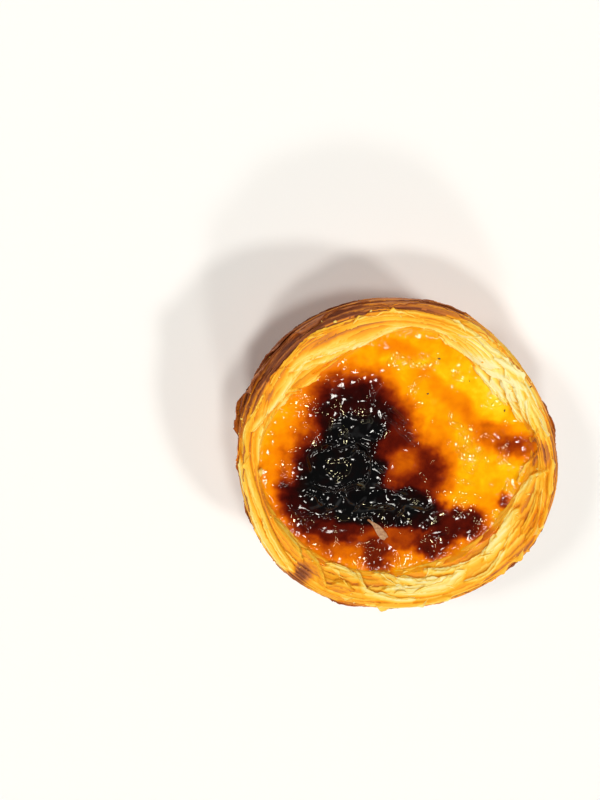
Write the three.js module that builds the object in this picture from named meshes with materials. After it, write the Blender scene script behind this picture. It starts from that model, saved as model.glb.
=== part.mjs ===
// Portuguese custard tart: a flaky pastry cup filled with baked, blistered custard.
// Millimetres, +Z up. The origin is under the middle of the tart, level with its flat base.
import * as THREE from "three";
import { mergeVertices } from "three/addons/utils/BufferGeometryUtils.js";

// ---- driving dimensions -------------------------------------------------------------------
const BASE_RADIUS = 19;
const BULGE_RADIUS = 38.3;
const BULGE_HEIGHT = 26.3;
const CREST_RADIUS = 36.3;
const CREST_HEIGHT = 31.9;
const CUSTARD_LINE_RADIUS = 30.1;
const CUSTARD_LINE_HEIGHT = 28.4;
const FLOOR_THICKNESS = 3.4;
const WALL_THICKNESS = 5;
const FIT_GAP = 0.3;

// The middle of the base, set so that the uneven outline as a whole is centred on the origin.
const BASE_CENTRE = { x: -0.124, y: -0.294 };

const SHELL_SEGMENTS = 120;
const CUSTARD_SEGMENTS = 60;
const CUSTARD_RINGS = 18;

// Width of each leaf of dough along the section, from the custard line over the crest and
// down the outside, where the leaves grow wider and lie flatter.
const LEAF_WIDTHS = [1.3, 1.0, 1.3, 1.1, 1.4, 1.2, 1.4, 1.2, 1.5, 1.4, 1.7, 2.0, 2.2, 2.5, 2.9, 3.2];
const RIM_BAND = 13;
const LEAF_LIFT = { rim: 0.55, wall: 0.2 };
const GAP_DEPTH = { rim: 0.95, wall: 0.35 };

// The outline isn't a true circle: each entry swings the radius `cycles` times a turn.
const RIM_WOBBLE = [
  { cycles: 2, swing: 1.4, at: 128 },
  { cycles: 3, swing: 0.45, at: -19 },
  { cycles: 4, swing: 0.55, at: -40 },
];
// One side of the rim is pressed in.
const RIM_DENT = { at: 43, depth: 1.4, halfWidth: 24 };
const CUSTARD_WOBBLE = [
  { cycles: 1, swing: 1.0, at: 150 },
  { cycles: 2, swing: 1.0, at: 2 },
  { cycles: 3, swing: 0.7, at: -30 },
  { cycles: 4, swing: 1.1, at: -4 },
  { cycles: 5, swing: 0.6, at: 13 },
  { cycles: 6, swing: 0.3, at: 12 },
];
const CREST_WAVE = 0.55;

// Below the leaves the outside is nearly smooth: a few rows, as shares of the way to the base.
const LOWER_WALL_ROWS = [0.12, 0.4, 0.7, 0.93];
const LOWER_WALL_WAVE = 0.22;

// Blisters on the custard: place, half sizes, turn in degrees and height. The eye is sunken.
const BLISTERS = [
  { name: "great blister", x: -14.4, y: -1.1, rx: 7.9, ry: 6.6, turn: -2, height: 1.7 },
  { name: "upper scorch", x: -12.9, y: 10.4, rx: 7.3, ry: 5.3, turn: 9, height: 1.2 },
  { name: "lower scorch", x: -13.7, y: -10.0, rx: 9.2, ry: 4.0, turn: -8, height: 1.0 },
  { name: "tail scorch", x: 1.8, y: -11.1, rx: 8.0, ry: 3.3, turn: -6, height: 0.8 },
  { name: "top brown", x: -10.8, y: 18.2, rx: 5.8, ry: 4.3, turn: 25, height: 0.6 },
  { name: "left brown", x: -23.2, y: -6.0, rx: 3.4, ry: 5.6, turn: 3, height: 0.45 },
  { name: "bottom brown", x: -15.6, y: -15.6, rx: 7.2, ry: 2.7, turn: -11, height: 0.5 },
  { name: "low spot", x: -4.3, y: -23.0, rx: 4.4, ry: 2.7, turn: -29, height: 0.35 },
  { name: "right tail", x: 11.2, y: -16.6, rx: 5.4, ry: 3.8, turn: 6, height: 0.55 },
  { name: "far tail", x: 18.2, y: -17.2, rx: 3.2, ry: 2.5, turn: 31, height: 0.4 },
  { name: "right brown", x: 25.8, y: 4.0, rx: 3.6, ry: 3.0, turn: -27, height: 0.35 },
  { name: "eye", x: 1.0, y: -0.6, rx: 4.0, ry: 3.8, turn: 0, height: -0.8 },
];

// Raised folds of skin on the custard: arcs round a centre, from one angle to another.
const SKIN_FOLDS = [
  { x: 1.0, y: 1.5, radius: 20.6, from: 28, to: 128, height: 0.5 },
  { x: -14.4, y: -1.1, radius: 9.4, from: 20, to: 210, height: 0.35 },
  { x: 1.0, y: -0.6, radius: 6.2, from: -70, to: 95, height: 0.4 },
  { x: -2.0, y: -3.0, radius: 17.5, from: 215, to: 300, height: 0.4 },
];
const FOLD_WIDTH = 0.9;
const RIPPLE = { height: 0.16, length: 7.5, waves: 7 };
const MENISCUS = { height: 0.5, reach: 1.5 };
const SAG = 0.5;

// Torn leaves: stretches of a leaf's edge that stand up higher than the rest of it.
const TORN_LEAVES = 22;
const TORN_LEAF = { halfLength: 4.6, rise: 1.5, firstLeaf: 2, lastLeaf: 11 };

const MERGE_DISTANCE = 1e-4;
const radians = THREE.MathUtils.degToRad;

// ---- repeatable noise ---------------------------------------------------------------------
function hash(seed, n) {
  const value = Math.sin(seed * 12.9898 + n * 78.233) * 43758.5453;
  return value - Math.floor(value);
}

// A closed wave round the tart, about -1 to 1, mixing `low` to `high` cycles a turn.
function ringWave(angle, seed, low, high) {
  let total = 0;
  for (let n = low; n <= high; n += 1) {
    total += Math.cos(n * angle + 2 * Math.PI * hash(seed, n));
  }
  return total / Math.sqrt(2 * (high - low + 1));
}

// Ripples over the plane: straight waves in scattered directions.
function ripple(x, y, seed, length, waves) {
  let total = 0;
  for (let n = 0; n < waves; n += 1) {
    const heading = 2 * Math.PI * hash(seed, n);
    const stretch = length * (0.6 + 0.8 * hash(seed + 1, n));
    const along = x * Math.cos(heading) + y * Math.sin(heading);
    total += Math.cos(2 * Math.PI * (along / stretch + hash(seed + 2, n)));
  }
  return total / Math.sqrt(waves);
}

function wobble(terms, angle) {
  return terms.reduce(
    (sum, term) => sum + term.swing * Math.cos(term.cycles * (angle - radians(term.at))),
    0,
  );
}

// ---- section of the cup -------------------------------------------------------------------
const outerSection = new THREE.SplineCurve([
  new THREE.Vector2(CUSTARD_LINE_RADIUS, CUSTARD_LINE_HEIGHT),
  new THREE.Vector2(CUSTARD_LINE_RADIUS + 1.8, CREST_HEIGHT - 1.8),
  new THREE.Vector2(CREST_RADIUS - 1.9, CREST_HEIGHT - 0.4),
  new THREE.Vector2(CREST_RADIUS, CREST_HEIGHT),
  new THREE.Vector2(BULGE_RADIUS - 0.8, CREST_HEIGHT - 1.3),
  new THREE.Vector2(BULGE_RADIUS - 0.1, BULGE_HEIGHT + 2.8),
  new THREE.Vector2(BULGE_RADIUS, BULGE_HEIGHT),
  new THREE.Vector2(BULGE_RADIUS - 0.9, BULGE_HEIGHT - 3),
  new THREE.Vector2(BULGE_RADIUS - 3.3, BULGE_HEIGHT - 7),
  new THREE.Vector2(BULGE_RADIUS - 6.7, BULGE_HEIGHT - 12),
  new THREE.Vector2(BULGE_RADIUS - 10.3, BULGE_HEIGHT - 17.3),
  new THREE.Vector2(BASE_RADIUS + 5.4, 3.6),
  new THREE.Vector2(BASE_RADIUS + 2.8, 0.8),
  new THREE.Vector2(BASE_RADIUS, 0),
]);
const outerLength = outerSection.getLength();

const innerSection = new THREE.SplineCurve([
  new THREE.Vector2(CUSTARD_LINE_RADIUS, CUSTARD_LINE_HEIGHT),
  new THREE.Vector2(BULGE_RADIUS - 4 - WALL_THICKNESS, BULGE_HEIGHT - 5),
  new THREE.Vector2(BULGE_RADIUS - 7 - WALL_THICKNESS, BULGE_HEIGHT - 10.5),
  new THREE.Vector2(BASE_RADIUS + 1.5, FLOOR_THICKNESS + 2.4),
  new THREE.Vector2(BASE_RADIUS - 3, FLOOR_THICKNESS + 0.1),
]);
const INNER_ROWS = 6;

// How much of the rim's wobble reaches a height: all of it at the bulge, little at the base.
function wobbleShare(height) {
  return 0.15 + 0.85 * THREE.MathUtils.smoothstep(height, 0, BULGE_HEIGHT);
}

function rimShift(angle) {
  const off = angle - radians(RIM_DENT.at);
  const away = Math.atan2(Math.sin(off), Math.cos(off)) / radians(RIM_DENT.halfWidth);
  return wobble(RIM_WOBBLE, angle) - RIM_DENT.depth * Math.exp(-away * away);
}

function innerShift(angle, height) {
  const share = THREE.MathUtils.smoothstep(height, FLOOR_THICKNESS, CUSTARD_LINE_HEIGHT);
  return wobble(CUSTARD_WOBBLE, angle) * share;
}

// Sideways shift of a point of the outer section, blending from the custard line's outline to
// the rim's outline by the time the crest is reached.
function outerShift(angle, distance, height) {
  const crestShare = THREE.MathUtils.smoothstep(distance, 0, 6);
  const rim = rimShift(angle) * wobbleShare(height);
  return THREE.MathUtils.lerp(innerShift(angle, height), rim, crestShare);
}

// Point at `distance` along the outer section, pushed out by `push` along its normal.
function outerPoint(angle, distance, push) {
  const along = THREE.MathUtils.clamp(distance / outerLength, 0, 1);
  const point = outerSection.getPointAt(along);
  const tangent = outerSection.getTangentAt(along);
  const radius = point.x + outerShift(angle, distance, point.y) - tangent.y * push;
  const nearRim = THREE.MathUtils.smoothstep(point.y, CUSTARD_LINE_HEIGHT - 8, CREST_HEIGHT);
  const wave = CREST_WAVE * ringWave(angle, 5, 1, 6) * nearRim * THREE.MathUtils.smoothstep(distance, 1, 5);
  return new THREE.Vector2(radius, point.y + tangent.x * push + wave);
}

// ---- leaves of the dough ------------------------------------------------------------------
// Distances of the gaps between leaves along the section at one angle. Each leaf keeps a
// positive width that swells and thins round the tart, so gaps open and close but never cross.
function gapLines(angle) {
  const widths = LEAF_WIDTHS.map((width, k) => {
    return width * Math.max(0.35, 1 + 0.45 * ringWave(angle, 20 + k, 3, 10));
  });
  const scale = LEAF_WIDTHS.reduce((a, b) => a + b, 0) / widths.reduce((a, b) => a + b, 0);
  const lines = [0];
  widths.forEach((width) => lines.push(lines[lines.length - 1] + width * scale));
  return lines;
}

// Height of the relief at a leaf's edge and depth of the gap beside it, both in millimetres and
// both held below a share of the leaf's own width so that leaves never fold into each other.
function leafRelief(angle, k, distance, width) {
  const wall = THREE.MathUtils.smoothstep(distance, RIM_BAND - 3, RIM_BAND + 4);
  const start = THREE.MathUtils.smoothstep(distance, 0, 2.2);
  const lift = THREE.MathUtils.lerp(LEAF_LIFT.rim, LEAF_LIFT.wall, wall);
  const depth = THREE.MathUtils.lerp(GAP_DEPTH.rim, GAP_DEPTH.wall, wall);
  const ragged = 0.25 * ringWave(angle, 60 + k, 13, 26);
  const swell = Math.max(0.15, 1 + 0.6 * ringWave(angle, 80 + k, 2, 8) + ragged);
  const opening = Math.max(0.1, 0.75 + 0.75 * ringWave(angle, 100 + k, 3, 10));
  return {
    lift: start * Math.min(lift * swell, 0.6 * width) + tornRise(angle, k),
    depth: start * Math.min(depth * opening, 0.7 * width),
  };
}

// Extra height where leaf `k` is torn and stands up: a lobe with a ragged top.
function tornRise(angle, k) {
  let rise = 0;
  for (let n = 0; n < TORN_LEAVES; n += 1) {
    const span = TORN_LEAF.lastLeaf - TORN_LEAF.firstLeaf;
    if (k === TORN_LEAF.firstLeaf + Math.round(span * hash(203, n))) {
      const middle = (2 * Math.PI * (n + 0.8 * hash(202, n))) / TORN_LEAVES;
      const half = (TORN_LEAF.halfLength * (0.6 + 0.8 * hash(200, n))) / BULGE_RADIUS;
      const off = Math.atan2(Math.sin(angle - middle), Math.cos(angle - middle)) / half;
      const lobe = Math.max(0, 1 - off * off);
      const ragged = 0.8 + 0.2 * Math.cos(7 * off + 9 * hash(204, n));
      rise += TORN_LEAF.rise * (0.5 + 0.6 * hash(201, n)) * Math.sqrt(lobe) * ragged;
    }
  }
  return rise;
}

// One closed section of the cup at one angle, from the middle of the base, up the outside,
// over the rim, down the inside and back to the middle of the floor.
function shellProfile(angle) {
  const outside = [];
  const lines = gapLines(angle);
  LEAF_WIDTHS.forEach((width, k) => {
    const relief = leafRelief(angle, k, lines[k], lines[k + 1] - lines[k]);
    const crest = THREE.MathUtils.lerp(lines[k], lines[k + 1], 0.35 + 0.3 * hash(140, k));
    outside.push(outerPoint(angle, lines[k], -relief.depth));
    outside.push(outerPoint(angle, crest, relief.lift));
  });
  const lastLine = lines[LEAF_WIDTHS.length];
  LOWER_WALL_ROWS.forEach((part, row) => {
    const distance = THREE.MathUtils.lerp(lastLine, outerLength, part);
    const push = LOWER_WALL_WAVE * (1 - part) * ringWave(angle, 160 + row, 3, 12);
    outside.push(outerPoint(angle, distance, push));
  });
  outside.push(new THREE.Vector2(BASE_RADIUS, 0));

  const inside = [];
  for (let row = 1; row < INNER_ROWS; row += 1) {
    inside.push(innerPoint(angle, row / (INNER_ROWS - 1), 0));
  }
  const middleOfBase = new THREE.Vector2(0, 0);
  const middleOfFloor = new THREE.Vector2(0, FLOOR_THICKNESS);
  return [middleOfBase, ...outside.reverse(), ...inside, middleOfFloor];
}

// Point of the inner wall, `inset` inside it, with `along` from 0 at the custard line to 1.
function innerPoint(angle, along, inset) {
  const point = innerSection.getPointAt(along);
  const tangent = innerSection.getTangentAt(along);
  const radius = point.x + innerShift(angle, point.y) + tangent.y * inset;
  return new THREE.Vector2(radius, point.y - tangent.x * inset);
}

// ---- surface of the custard ---------------------------------------------------------------
// Distance from a blister's middle, 0 at the middle and 1 at its edge.
function blisterReach(blister, x, y) {
  const turn = radians(blister.turn);
  const dx = x - blister.x;
  const dy = y - blister.y;
  const along = (dx * Math.cos(turn) + dy * Math.sin(turn)) / blister.rx;
  const across = (dy * Math.cos(turn) - dx * Math.sin(turn)) / blister.ry;
  return Math.hypot(along, across);
}

function foldHeight(fold, x, y) {
  const dx = x - fold.x;
  const dy = y - fold.y;
  const middle = radians((fold.from + fold.to) / 2);
  const half = radians((fold.to - fold.from) / 2);
  const swing = Math.atan2(Math.sin(Math.atan2(dy, dx) - middle), Math.cos(Math.atan2(dy, dx) - middle));
  const ends = 1 - THREE.MathUtils.smoothstep(Math.abs(swing), half * 0.6, half);
  const off = (Math.hypot(dx, dy) - fold.radius - 0.8 * ringWave(swing, 7, 2, 6)) / FOLD_WIDTH;
  return fold.height * ends * Math.exp(-off * off);
}

function custardHeight(x, y, edgeRadius) {
  const radius = Math.hypot(x, y);
  const inward = Math.max(0, edgeRadius - radius);
  const calm = THREE.MathUtils.smoothstep(inward, 0, 2.5);
  let height = CUSTARD_LINE_HEIGHT - FIT_GAP - MENISCUS.height - SAG * calm;
  height += MENISCUS.height * Math.exp(-inward / MENISCUS.reach);
  height += calm * RIPPLE.height * ripple(x, y, 11, RIPPLE.length, RIPPLE.waves);
  BLISTERS.forEach((blister) => {
    const reach = blisterReach(blister, x, y);
    const dome = 1 - THREE.MathUtils.smoothstep(reach, 0.35, 1.15);
    const spokes = 3 * Math.atan2(y - blister.y, x - blister.x);
    const wrinkle = 1 + 0.2 * THREE.MathUtils.smoothstep(reach, 0, 0.5) * Math.cos(7 * reach + spokes);
    height += calm * blister.height * dome * wrinkle;
  });
  SKIN_FOLDS.forEach((fold) => {
    height += calm * foldHeight(fold, x, y);
  });
  return height;
}

// Section of the custard at one angle, from the middle of its underside, up its side to the
// line where it meets the pastry, then in over the top to the middle.
function custardProfile(angle) {
  const side = [];
  for (let row = INNER_ROWS - 1; row >= 1; row -= 1) {
    side.push(innerPoint(angle, row / (INNER_ROWS - 1), FIT_GAP));
  }
  const edge = innerPoint(angle, 0, FIT_GAP).x;
  const top = [];
  for (let ring = CUSTARD_RINGS; ring >= 0; ring -= 1) {
    const radius = edge * Math.pow(ring / CUSTARD_RINGS, 0.85);
    const x = radius * Math.cos(angle);
    const y = radius * Math.sin(angle);
    top.push(new THREE.Vector2(radius, custardHeight(x, y, edge)));
  }
  return [new THREE.Vector2(0, FLOOR_THICKNESS + FIT_GAP), ...side, ...top];
}

// ---- geometry helpers ---------------------------------------------------------------------
// A LatheGeometry whose section changes with the angle, turned so that its axis is +Z.
function unevenLathe(profileAt, segments) {
  const rows = profileAt(0).length;
  const geometry = new THREE.LatheGeometry(profileAt(0), segments);
  const position = geometry.attributes.position;
  for (let step = 0; step <= segments; step += 1) {
    const angle = (2 * Math.PI * (step % segments)) / segments;
    profileAt(angle).forEach((point, row) => {
      position.setXYZ(
        step * rows + row,
        point.x * Math.cos(angle),
        point.x * Math.sin(angle),
        point.y,
      );
    });
  }
  return mergedFaces(geometry);
}

function mergedFaces(geometry) {
  geometry.deleteAttribute("normal");
  geometry.deleteAttribute("uv");
  const merged = mergeVertices(geometry, MERGE_DISTANCE);
  merged.computeVertexNormals();
  return merged;
}

// ---- the pieces ---------------------------------------------------------------------------
const pastryMaterial = new THREE.MeshStandardMaterial({
  name: "pastry",
  color: 0xdf9a45,
  roughness: 0.6,
  metalness: 0,
});
const custardMaterial = new THREE.MeshStandardMaterial({
  name: "custard",
  color: 0xf59a12,
  roughness: 0.25,
  metalness: 0,
});

function namedMesh(name, geometry, material) {
  geometry.translate(BASE_CENTRE.x, BASE_CENTRE.y, 0);
  const mesh = new THREE.Mesh(geometry, material);
  mesh.name = name;
  return mesh;
}

const shellGeometry = unevenLathe(shellProfile, SHELL_SEGMENTS);
const custardGeometry = unevenLathe(custardProfile, CUSTARD_SEGMENTS);

const tart = new THREE.Group();
tart.name = "custard_tart";
tart.add(namedMesh("pastry_shell", shellGeometry, pastryMaterial));
tart.add(namedMesh("custard", custardGeometry, custardMaterial));

export default tart;
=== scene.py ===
"""Looks of a Portuguese custard tart: a flaky pastry cup and its blistered, glossy custard.

Shapes are worked out in millimetres round the middle of the base and written in metres.
"""

import math

import bpy
import numpy as np
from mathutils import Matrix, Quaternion, Vector


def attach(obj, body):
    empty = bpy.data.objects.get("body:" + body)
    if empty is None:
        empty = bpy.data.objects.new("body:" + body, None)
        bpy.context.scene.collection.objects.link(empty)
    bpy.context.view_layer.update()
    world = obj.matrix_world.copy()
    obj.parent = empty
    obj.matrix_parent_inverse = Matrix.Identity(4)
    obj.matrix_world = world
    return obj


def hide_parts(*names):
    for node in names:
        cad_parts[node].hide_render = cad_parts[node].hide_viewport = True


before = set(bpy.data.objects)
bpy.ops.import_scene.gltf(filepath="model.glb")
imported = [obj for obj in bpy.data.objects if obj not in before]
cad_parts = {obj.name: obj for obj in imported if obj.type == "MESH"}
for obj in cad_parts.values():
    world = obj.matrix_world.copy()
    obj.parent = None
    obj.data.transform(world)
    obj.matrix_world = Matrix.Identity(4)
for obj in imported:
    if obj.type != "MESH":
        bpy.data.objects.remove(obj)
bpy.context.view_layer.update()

MM = 0.001
TURN = 2 * math.pi

# ---- driving sizes of the tart, in millimetres ---------------------------------------------
BASE_CENTRE = (-0.124, -0.294)
BASE_RADIUS = 19.0
BULGE_RADIUS = 38.3
BULGE_HEIGHT = 26.3
CREST_RADIUS = 36.3
CREST_HEIGHT = 31.9
CUSTARD_RADIUS = 30.1
CUSTARD_HEIGHT = 28.4
FLOOR_THICKNESS = 3.4
WALL_THICKNESS = 5.0
CREST_WAVE = 0.55
LIP_REACH = 3.0

# cycles a turn, swing in millimetres and the angle of the swing's peak
RIM_WOBBLE = ((2, 1.4, 128), (3, 0.45, -19), (4, 0.55, -40))
RIM_DENT = {"at": 43, "depth": 1.4, "half_width": 24}
CUSTARD_WOBBLE = (
    (1, 1.0, 150), (2, 1.0, 2), (3, 0.7, -30), (4, 1.1, -4), (5, 0.6, 13), (6, 0.3, 12),
)

# Leaves of dough that show on the rim: half width, lift, bake (0 cream, 1 dark brown), then
# the leaf's middle as angle in degrees and distance along the section from the custard line.
LEAVES = (
    # right side
    (0.7, 0.35, 0.46, ((-4, 1.0), (0, 1.3), (4, 3.2))),
    (0.8, 0.40, 0.40, ((7, 0.2), (10, 2.6), (14, 6.2))),
    (0.5, 0.50, 0.30, ((10, 6.9), (18, 6.9), (27, 6.3), (36, 7.2))),
    (0.9, 0.60, 0.22, ((12, 4.6), (16, 3.6), (21, 4.6), (30, 6.6))),
    (0.9, 0.70, 0.14, ((16, 1.6), (20, 1.8), (24, 3.4), (29, 4.9), (34, 5.8), (39, 6.7))),
    (1.0, 0.80, 0.10, ((17, -0.2), (22, 0.2), (27, 1.0), (32, 2.7), (37, 3.8), (43, 4.2))),
    # pressed-in part of the rim: leaves fan out across each other
    (0.8, 0.85, 0.10, ((28, -0.6), (33, 0.3), (37, 1.3), (42, 1.6), (46, 2.4))),
    (0.6, 0.90, 0.08, ((34, -0.4), (40, 0.2), (46, 0.5), (54, 0.2))),
    (0.9, 0.75, 0.14, ((33, 6.6), (38, 6.2), (42, 5.0), (46, 3.5), (50, 2.9), (55, 2.2))),
    (0.7, 0.70, 0.24, ((36, 8.3), (42, 7.2), (47, 6.6), (53, 5.8))),
    (1.5, 0.85, 0.14, ((47, 5.6), (52, 4.2), (58, 2.6), (64, 1.4), (70, 0.5), (75, 0.6))),
    (0.5, 0.60, 0.30, ((50, 7.4), (56, 6.7), (60, 6.9), (66, 7.2), (74, 7.3))),
    (1.0, 0.50, 0.34, ((54, 8.6), (62, 8.7), (70, 8.9))),
    # top
    (1.0, 0.70, 0.20, ((68, 2.4), (74, 4.2), (80, 4.6), (87, 4.4), (93, 4.0))),
    (0.7, 0.65, 0.36, ((72, 7.2), (80, 7.3), (88, 7.1), (96, 7.4), (104, 7.6))),
    (0.5, 0.50, 0.44, ((70, 9.7), (78, 9.5), (86, 9.3), (95, 9.6))),
    (1.5, 0.85, 0.12, ((88, 4.3), (94, 3.7), (100, 2.2), (106, 1.8), (112, 2.5), (118, 3.3))),
    (1.0, 0.80, 0.12, ((110, 2.5), (116, 3.2), (121, 3.6), (126, 4.3), (131, 4.9), (138, 5.0))),
    (0.5, 0.85, 0.12, ((113, 1.5), (119, 1.9), (125, 2.2), (129, 2.9), (134, 3.8), (142, 3.9))),
    (0.35, 0.80, 0.16, ((90, 7.0), (99, 7.0), (107, 6.6), (113, 6.7), (119, 7.1), (124, 7.4),
                        (129, 7.1), (136, 6.6), (146, 6.3))),
    (0.5, 0.45, 0.60, ((96, 8.2), (104, 8.4), (111, 8.6), (118, 8.9), (126, 8.2), (136, 7.8),
                       (146, 7.6))),
    (0.5, 0.45, 0.66, ((104, 10.2), (114, 10.4), (124, 9.9), (134, 9.2), (144, 8.7), (150, 8.9))),
    # left
    (1.0, 0.55, 0.24, ((131, -0.3), (136, 0.2), (141, 0.1))),
    (0.35, 0.75, 0.16, ((141.6, -0.5), (142.4, 0.8), (144, 2.2), (146.5, 2.6), (150, 2.1))),
    (0.3, 0.75, 0.18, ((144, -0.5), (145, 0.9), (147, 1.1), (149, 0.2))),
    (0.9, 0.70, 0.08, ((147, 0.6), (150, 0.9), (154, 0.8))),
    (0.8, 0.90, 0.08, ((137, 4.2), (143, 3.7), (148, 3.2), (152, 3.6), (156, 4.6), (160, 6.2),
                       (165, 7.8))),
    (0.35, 0.70, 0.18, ((149, 6.6), (153, 6.5), (158, 7.4), (163, 8.6))),
    (1.5, 0.45, 0.26, ((153, 1.8), (160, 2.6), (166, 3.4), (172, 3.2), (178, 2.6))),
    (0.8, 0.60, 0.14, ((160, 4.2), (166, 5.0), (172, 5.0), (178, 4.6))),
    (0.9, 0.60, 0.22, ((160, 7.6), (166, 8.4), (172, 8.0), (180, 7.3), (190, 6.4), (200, 5.95),
                       (210, 5.9), (220, 6.2), (227, 7.0))),
    (1.2, 0.35, 0.40, ((178, 1.6), (188, 2.2), (197, 2.6), (204, 3.0))),
    (1.7, 0.55, 0.28, ((200, 2.2), (207, 2.1), (213, 2.1), (219, 2.6), (226, 3.8))),
    (1.1, 0.65, 0.12, ((176, 9.9), (184, 9.2), (191, 8.6), (200, 8.2), (208, 8.0), (215, 8.0),
                       (224, 8.6))),
    (0.5, 0.45, 0.30, ((186, 10.9), (200, 10.4), (214, 10.4), (226, 10.9))),
    # bottom
    (1.0, 0.55, 0.34, ((223, 1.0), (228, 1.6), (233, 2.8), (237, 4.9), (241, 6.6))),
    (0.9, 0.85, 0.14, ((236, 1.4), (241, 0.8), (246, 0.9), (250, 1.5), (254, 2.3))),
    (1.5, 0.45, 0.40, ((240, 5.4), (246, 4.8), (252, 4.8))),
    (0.8, 0.80, 0.12, ((251, 0.2), (253, 1.6), (254.5, 3.4), (257, 4.9), (263, 5.5), (270, 6.3),
                       (278, 6.2))),
    (0.7, 0.90, 0.12, ((259, 0.4), (262, 1.0), (266, 2.4), (270, 3.6), (275, 4.6))),
    (0.6, 0.90, 0.10, ((262, 0.6), (267, 1.4), (271, 2.6), (276, 3.2))),
    (1.1, 0.75, 0.14, ((264, 4.0), (272, 4.6), (281, 4.9), (290, 5.0), (296, 4.2), (302, 3.2))),
    (0.7, 0.85, 0.10, ((270, 1.8), (275, 2.5), (280, 3.3), (287, 3.6), (294, 3.6))),
    (0.45, 0.80, 0.12, ((283, 1.3), (287, 1.7), (291, 2.3), (297, 2.6), (304, 2.8), (311, 2.7),
                        (317, 2.9))),
    (0.45, 0.60, 0.16, ((298, 5.1), (303, 5.7), (308, 5.9), (314, 5.1), (319, 4.4))),
    (0.9, 0.55, 0.26, ((262, 7.4), (272, 7.7), (282, 7.6), (292, 7.2))),
    # lower right
    (1.1, 0.80, 0.10, ((309, 3.6), (315, 3.2), (320, 2.8), (326, 2.5), (332, 2.3), (338, 2.1))),
    (0.4, 0.65, 0.22, ((318, 4.4), (323, 3.9), (328, 3.6), (334, 3.7))),
    (0.35, 0.55, 0.30, ((325, 1.1), (331, 1.0), (337, 1.1), (342, 0.7))),
    (0.35, 0.60, 0.28, ((328, 4.8), (334, 4.7), (341, 4.6), (347, 4.3))),
    (0.35, 0.60, 0.34, ((326, 6.3), (331, 6.5), (336, 6.2), (341, 5.6), (347, 5.2))),
    (0.5, 0.55, 0.36, ((318, 7.9), (326, 8.0), (334, 7.6), (343, 7.0))),
    (1.0, 0.75, 0.16, ((338, 0.9), (343, 1.1), (348, 1.7), (352, 2.4), (355, 4.3), (357, 6.6))),
    (0.35, 0.75, 0.22, ((347, -1.0), (352, -1.1), (356, -0.5), (360, 0.9), (363, 2.4))),
    (0.6, 0.60, 0.26, ((346, 7.0), (351, 6.6), (356, 6.8), (361, 7.4))),
)

# Slits between leaves: half width, depth, then places as above
SLITS = (
    (0.16, 0.5, ((30, -0.6), (33, 0.9), (36, 2.2))),
    (0.14, 0.5, ((113, 2.0), (117, 2.5), (121, 2.8))),
    (0.18, 0.6, ((122, 3.3), (126, 3.7), (131, 4.2), (136, 4.4))),
    (0.22, 0.6, ((155, 3.6), (159, 5.2), (162, 6.3), (166, 7.3), (170, 7.0), (175, 6.8), (180, 6.3),
                 (186, 5.9), (193, 5.2), (200, 4.9), (206, 4.9), (213, 5.0), (222, 5.6))),
    (0.22, 0.5, ((180, 8.7), (190, 7.6), (197, 7.3), (205, 7.0), (212, 6.9), (220, 7.3))),
    (0.16, 0.6, ((238, 2.1), (242, 2.3), (247, 2.7), (251, 3.1), (254, 3.0))),
    (0.12, 0.6, ((263, 1.3), (267, 2.3), (271, 3.4))),
    (0.12, 0.6, ((271.5, 2.6), (275, 3.2), (279, 3.9))),
    (0.14, 0.6, ((277, 2.6), (282, 2.9), (289, 3.0))),
    (0.10, 0.5, ((233, 3.6), (236, 4.6), (240, 6.2))),
    (0.12, 0.5, ((328, 5.4), (333, 5.5), (338, 5.2))),
    (0.12, 0.5, ((330, 6.9), (335, 6.9), (340, 6.3))),
    (0.12, 0.5, ((347, 5.9), (351, 5.7), (354, 6.0))),
    (0.14, 0.5, ((74, 8.2), (82, 8.4), (90, 8.6), (98, 9.0))),
    (0.14, 0.5, ((56, 7.9), (62, 7.9), (69, 8.2))),
)

# Where the outside starts to brown: angle, distance where it starts, how brown it gets
BROWNING = (
    (0, 8.0, 0.24), (20, 9.0, 0.14), (50, 8.8, 0.12), (64, 8.4, 0.14), (76, 8.0, 0.18),
    (96, 7.8, 0.22), (110, 7.4, 0.26), (125, 7.1, 0.29), (140, 6.5, 0.31), (152, 6.7, 0.29),
    (160, 8.6, 0.22), (175, 10.8, 0.16), (200, 11.2, 0.12), (222, 9.6, 0.16), (232, 8.4, 0.26),
    (242, 9.6, 0.16), (270, 9.0, 0.14), (300, 8.0, 0.16), (330, 7.8, 0.20), (345, 8.4, 0.18),
)
# Toasted spots, and pale ones with an amount below 0: angle, distance, half sizes in degrees
# and millimetres, amount
TOASTED = (
    (46, 6.5, 30, 7.5, -0.30),
    (18, 6.5, 12, 4.0, -0.10),
    (286, 4.8, 22, 5.0, -0.09),
    (322, 4.8, 18, 4.5, -0.06),
    (3.5, 5.8, 6, 1.5, 0.34),
    (7, 2.6, 4, 2.8, 0.22),
    (1, 1.0, 5, 1.6, 0.16),
    (229, 5.5, 5.2, 2.4, 0.42),
    (229, 8.4, 4.4, 2.6, 0.28),
    (190, 2.4, 14, 3.0, 0.12),
    (308, 8.0, 14, 3.0, 0.12),
    (322, 6.2, 7, 2.0, 0.16),
    (334, 4.2, 8, 3.0, 0.10),
    (150, 5.2, 4, 1.0, 0.18),
    (120, 5.2, 9, 0.9, 0.14),
    (104, 4.9, 8, 0.8, 0.10),
)

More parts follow.
